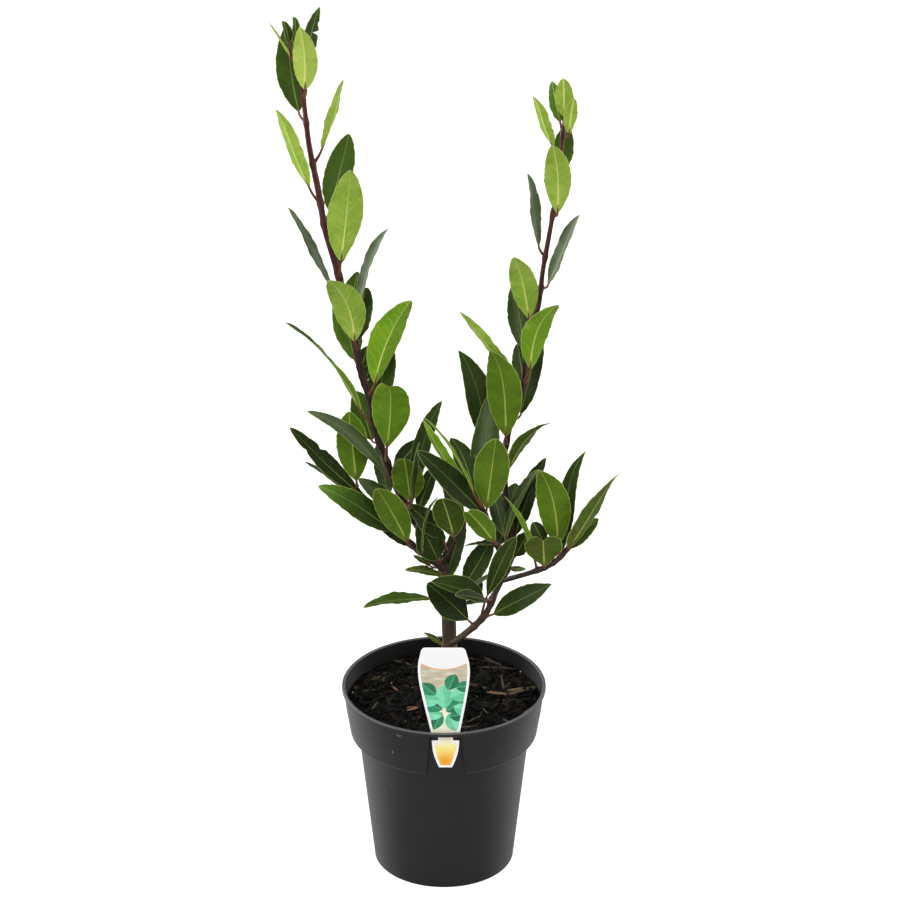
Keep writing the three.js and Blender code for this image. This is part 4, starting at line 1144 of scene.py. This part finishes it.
# ---- The low right shoot ----
# The lowest side shoot. It leaves the right leader nearly level and turns up at its end, under a fan
# of leaves.
RIGHT_LOW_ROUTE = [
    (56, 300, -6, 2.6), (66, 303, -13, 2.5), (84, 309, -20, 2.4), (102, 317, -24, 2.2),
    (113, 328, -25, 2.1), (117.5, 334, -25, 1.9),
]
RIGHT_LOW_LEAVES = [
    leaf((95.5, 314, -26), (94, 346, -44), 36, 180, "olive", widest=0.56, tip_taper=0.4, cleft=6),
    leaf((108, 337, -28), (91.5, 417, -48), 31, 178, "mid", tip_taper=0.8, bow=4.5, hook=-2),
    leaf((118, 345, -18), (126, 437, -4), 16, -8, "deep", bow=-4.5, hook=7, tip_taper=0.8),
    leaf((119, 335, -28), (161, 419, -44), 22, -130, "olive", bow=3.2, hook=7, widest=0.33,
         tip_taper=1.6),
    leaf((120, 334, -20), (146, 366, -4), 17, -30, "mid"),
    leaf((95, 340, -12), (84, 362, 0), 16, 10, "deep"),
    leaf((86, 322, -18), (57.5, 389, -30), 20, 105, "fresh", bow=3),
    leaf((112, 330, -20), (96, 400, 34), 22, 10, "deep"),
]
grow("right_low_shoot", RIGHT_LOW_ROUTE, RIGHT_LOW_LEAVES, shoot_bark)
for master in (blade, stalk, bud):
    bpy.data.objects.remove(master)

# ---- The label ----
# A card of thin white polypropylene, die-cut and printed on the front, that stands inside the lip and
# passes through the slot, so that its tongue shows against the sunk panel.
LABEL = SimpleNamespace(
    centre_x=1.7, y=-92.9, thickness=0.8, neck_top=183, edge=0.15, border=2.3, lean=0.022,
)
LABEL_HALF = [  # half width and height of the outline, from the head's corner down to the tongue's end
    *arc((16.5, 272.5), 4.5, 90, 12, 5), (23.7, 262), (24.2, 256), (24.3, 252), (24, 246), (23.1, 238),
    (21.5, 228), (19.3, 216), (13.4, 186), (8.5, 184), (7, 183), (7, 178), (13, 178), (12.7, 173),
    (12, 167), (10.9, 162), (9.6, 158), (8.6, 155), (7.5, 152), (5.9, 149),
]
outline = LABEL_HALF + [(-x, z) for x, z in reversed(LABEL_HALF)]
outline = [(x - LABEL.lean * max(z - LABEL.neck_top, 0), z) for x, z in outline]
corners = [((x + LABEL.centre_x) * MM, LABEL.y * MM, z * MM) for x, z in outline]
card = bpy.data.meshes.new("plant_label_card")
card.from_pydata(corners, [], [tuple(reversed(range(len(corners))))])
label = bpy.data.objects.new("plant_label_card", card)
bpy.context.collection.objects.link(label)
select_only(label)
bpy.ops.object.mode_set(mode="EDIT")
bpy.ops.mesh.select_all(action="SELECT")
bpy.ops.mesh.extrude_region_move(TRANSFORM_OT_translate={"value": (0, LABEL.thickness * MM, 0)})
bpy.ops.mesh.select_all(action="SELECT")
bpy.ops.mesh.normals_make_consistent(inside=False)
bpy.ops.mesh.select_mode(type="FACE")
bpy.ops.mesh.select_all(action="DESELECT")
bpy.ops.object.mode_set(mode="OBJECT")
for side in label.data.polygons:
    side.select = side.normal.y < -0.9
bpy.ops.object.mode_set(mode="EDIT")
for thickness in (LABEL.edge, LABEL.border - LABEL.edge):
    bpy.ops.mesh.inset(thickness=thickness * MM, depth=0.0)
bpy.ops.object.mode_set(mode="OBJECT")
printed = min(label.data.polygons, key=lambda side: side.normal.y * side.area)
printed.material_index = 1
smooth(label, 30)

label_white, shader, where = finish("label_white", 0.38, specular=0.4)
white = mottled(where, 60.0, 1.0, (0.94, 0.94, 0.935), (0.98, 0.98, 0.975))["Colour"]
# Painted light: the card glows faintly with its own white, so it shows brighter than the lamps alone
# make it.
fill(shader, {"Base Color": white, "Emission Color": white, "Emission Strength": 0.12})
bump(shader, noise_of(where, 1200.0), 0.1, 0.0002)

# One printed leaf of the label's plain sprig: its mask and the mask of its rib.
printed_leaf, entry, leave = new_group(
    "printed_leaf", dict.fromkeys(("Across", "Up", "Turn", "Length", "Width"), "Float"),
    dict.fromkeys(("Mask", "Rib", "Half"), "Float"),
)
cosine, sine = maths("COSINE", entry["Turn"]), maths("SINE", entry["Turn"])
lengthwise = plus(times(entry["Across"], cosine), times(entry["Up"], sine))
crosswise = minus(times(entry["Up"], cosine), times(entry["Across"], sine))
off_rib = maths("ABSOLUTE", crosswise)
share = maths("DIVIDE", lengthwise, entry["Length"])
edge = times(times(share, minus(1.0, share)), times(entry["Width"], 2.0))
mask = ease(minus(edge, off_rib), 0.0, 0.3)
fill(leave, {
    "Mask": mask, "Rib": times(ease(off_rib, 0.1, 0.4, 1.0, 0.0), mask),
    "Half": ease(crosswise, -0.8, 0.8),
})

# The print: a bare white head over a thin orange arc, a plain sprig on beige that fades to pale yellow,
# and the tongue shaded from pale yellow to orange.
SPRIG = [  # foot x, foot z, turn in degrees, length, width, colour
    (5, 208, -72, 21, 14, "mint"), (-2, 209, -112, 21, 12, "dark"), (-1, 205, 172, 17, 12, "mint"),
    (5, 204, 8, 16, 13, "dark"), (2, 209, 35, 23, 15, "dark"), (-1, 211, 152, 24, 16, "dark"),
    (9, 215, -22, 18, 13, "mint"), (1, 212, 95, 26, 18, "mint"), (-3, 221, 176, 22, 15, "mint"),
    (5, 224, 22, 24, 17, "mint"), (-7, 227, 138, 19, 13, "dark"), (4, 232, 68, 19, 14, "dark"),
    (11, 235, 8, 16, 12, "dark"),
]
INKS = {
    "dark": ((0.006, 0.09, 0.035), (0.03, 0.36, 0.17)), "mint": ((0.06, 0.46, 0.22), (0.3, 0.88, 0.58)),
}
TONGUE_GLOW = (1.5, LABEL.y, 155)
ORANGE_ARC = SimpleNamespace(bottom=253.5, rise=0.014, width=1)
label_print, shader, where = finish("label_print", 0.3, specular=0.4)
place = axes_of(in_mm(where))
x, z = place["X"], place["Z"]
paper = mix_colour(ease(z, 198, 236), (0.98, 0.96, 0.72), (0.56, 0.49, 0.34))
soft = ease(noise_of(stretched(where, (0.3, 1.0, 1.6)), 150.0, 2.0), 0.4, 0.7, 0.0, 0.75)
colour = mix_colour(soft, paper, (0.86, 0.83, 0.7))
light = times(noise_of(where, 110.0, 3.0), 0.75)
for foot_x, foot_z, turn, length, width, ink in SPRIG:
    shape = use_group(printed_leaf, {
        "Across": minus(x, foot_x), "Up": minus(z, foot_z),
        "Turn": math.radians(turn), "Length": length, "Width": width,
    })
    green = mix_colour(plus(light, times(shape["Half"], 0.3)), *INKS[ink])
    green = mix_colour(times(shape["Rib"], 0.45), green, (0.5, 0.85, 0.6))
    colour = mix_colour(shape["Mask"], colour, green)
leaning = times(minus(z, LABEL.neck_top), LABEL.lean)
off_centre = maths("ABSOLUTE", minus(plus(x, leaning), LABEL.centre_x))
over_arc = minus(z, plus(times(maths("POWER", off_centre, 2.0), ORANGE_ARC.rise), ORANGE_ARC.bottom))
colour = mix_colour(ease(over_arc, -0.1, 0.1), colour, (0.85, 0.36, 0.1))
above_arc = ease(over_arc, ORANGE_ARC.width - 0.1, ORANGE_ARC.width + 0.2)
colour = mix_colour(above_arc, colour, (0.96, 0.96, 0.955))
from_glow = add_node("VectorMath", {0: in_mm(where), 1: TONGUE_GLOW}, operation="DISTANCE")["Value"]
tongue = mix_colour(ease(from_glow, 1.0, 16.0), (0.93, 0.4, 0.02), (0.99, 0.82, 0.24))
tongue = mix_colour(ease(z, 168, 178), tongue, (1.0, 0.96, 0.68))
colour = mix_colour(ease(z, 181, 182), tongue, colour)
# Painted light: the print glows faintly with its own colours.
fill(shader, {"Base Color": colour, "Emission Color": colour, "Emission Strength": 0.08})
bump(shader, noise_of(where, 1200.0), 0.1, 0.0002)
label.data.materials.append(label_white)
label.data.materials.append(label_print)
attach(label, "root")
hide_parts("plant_label")
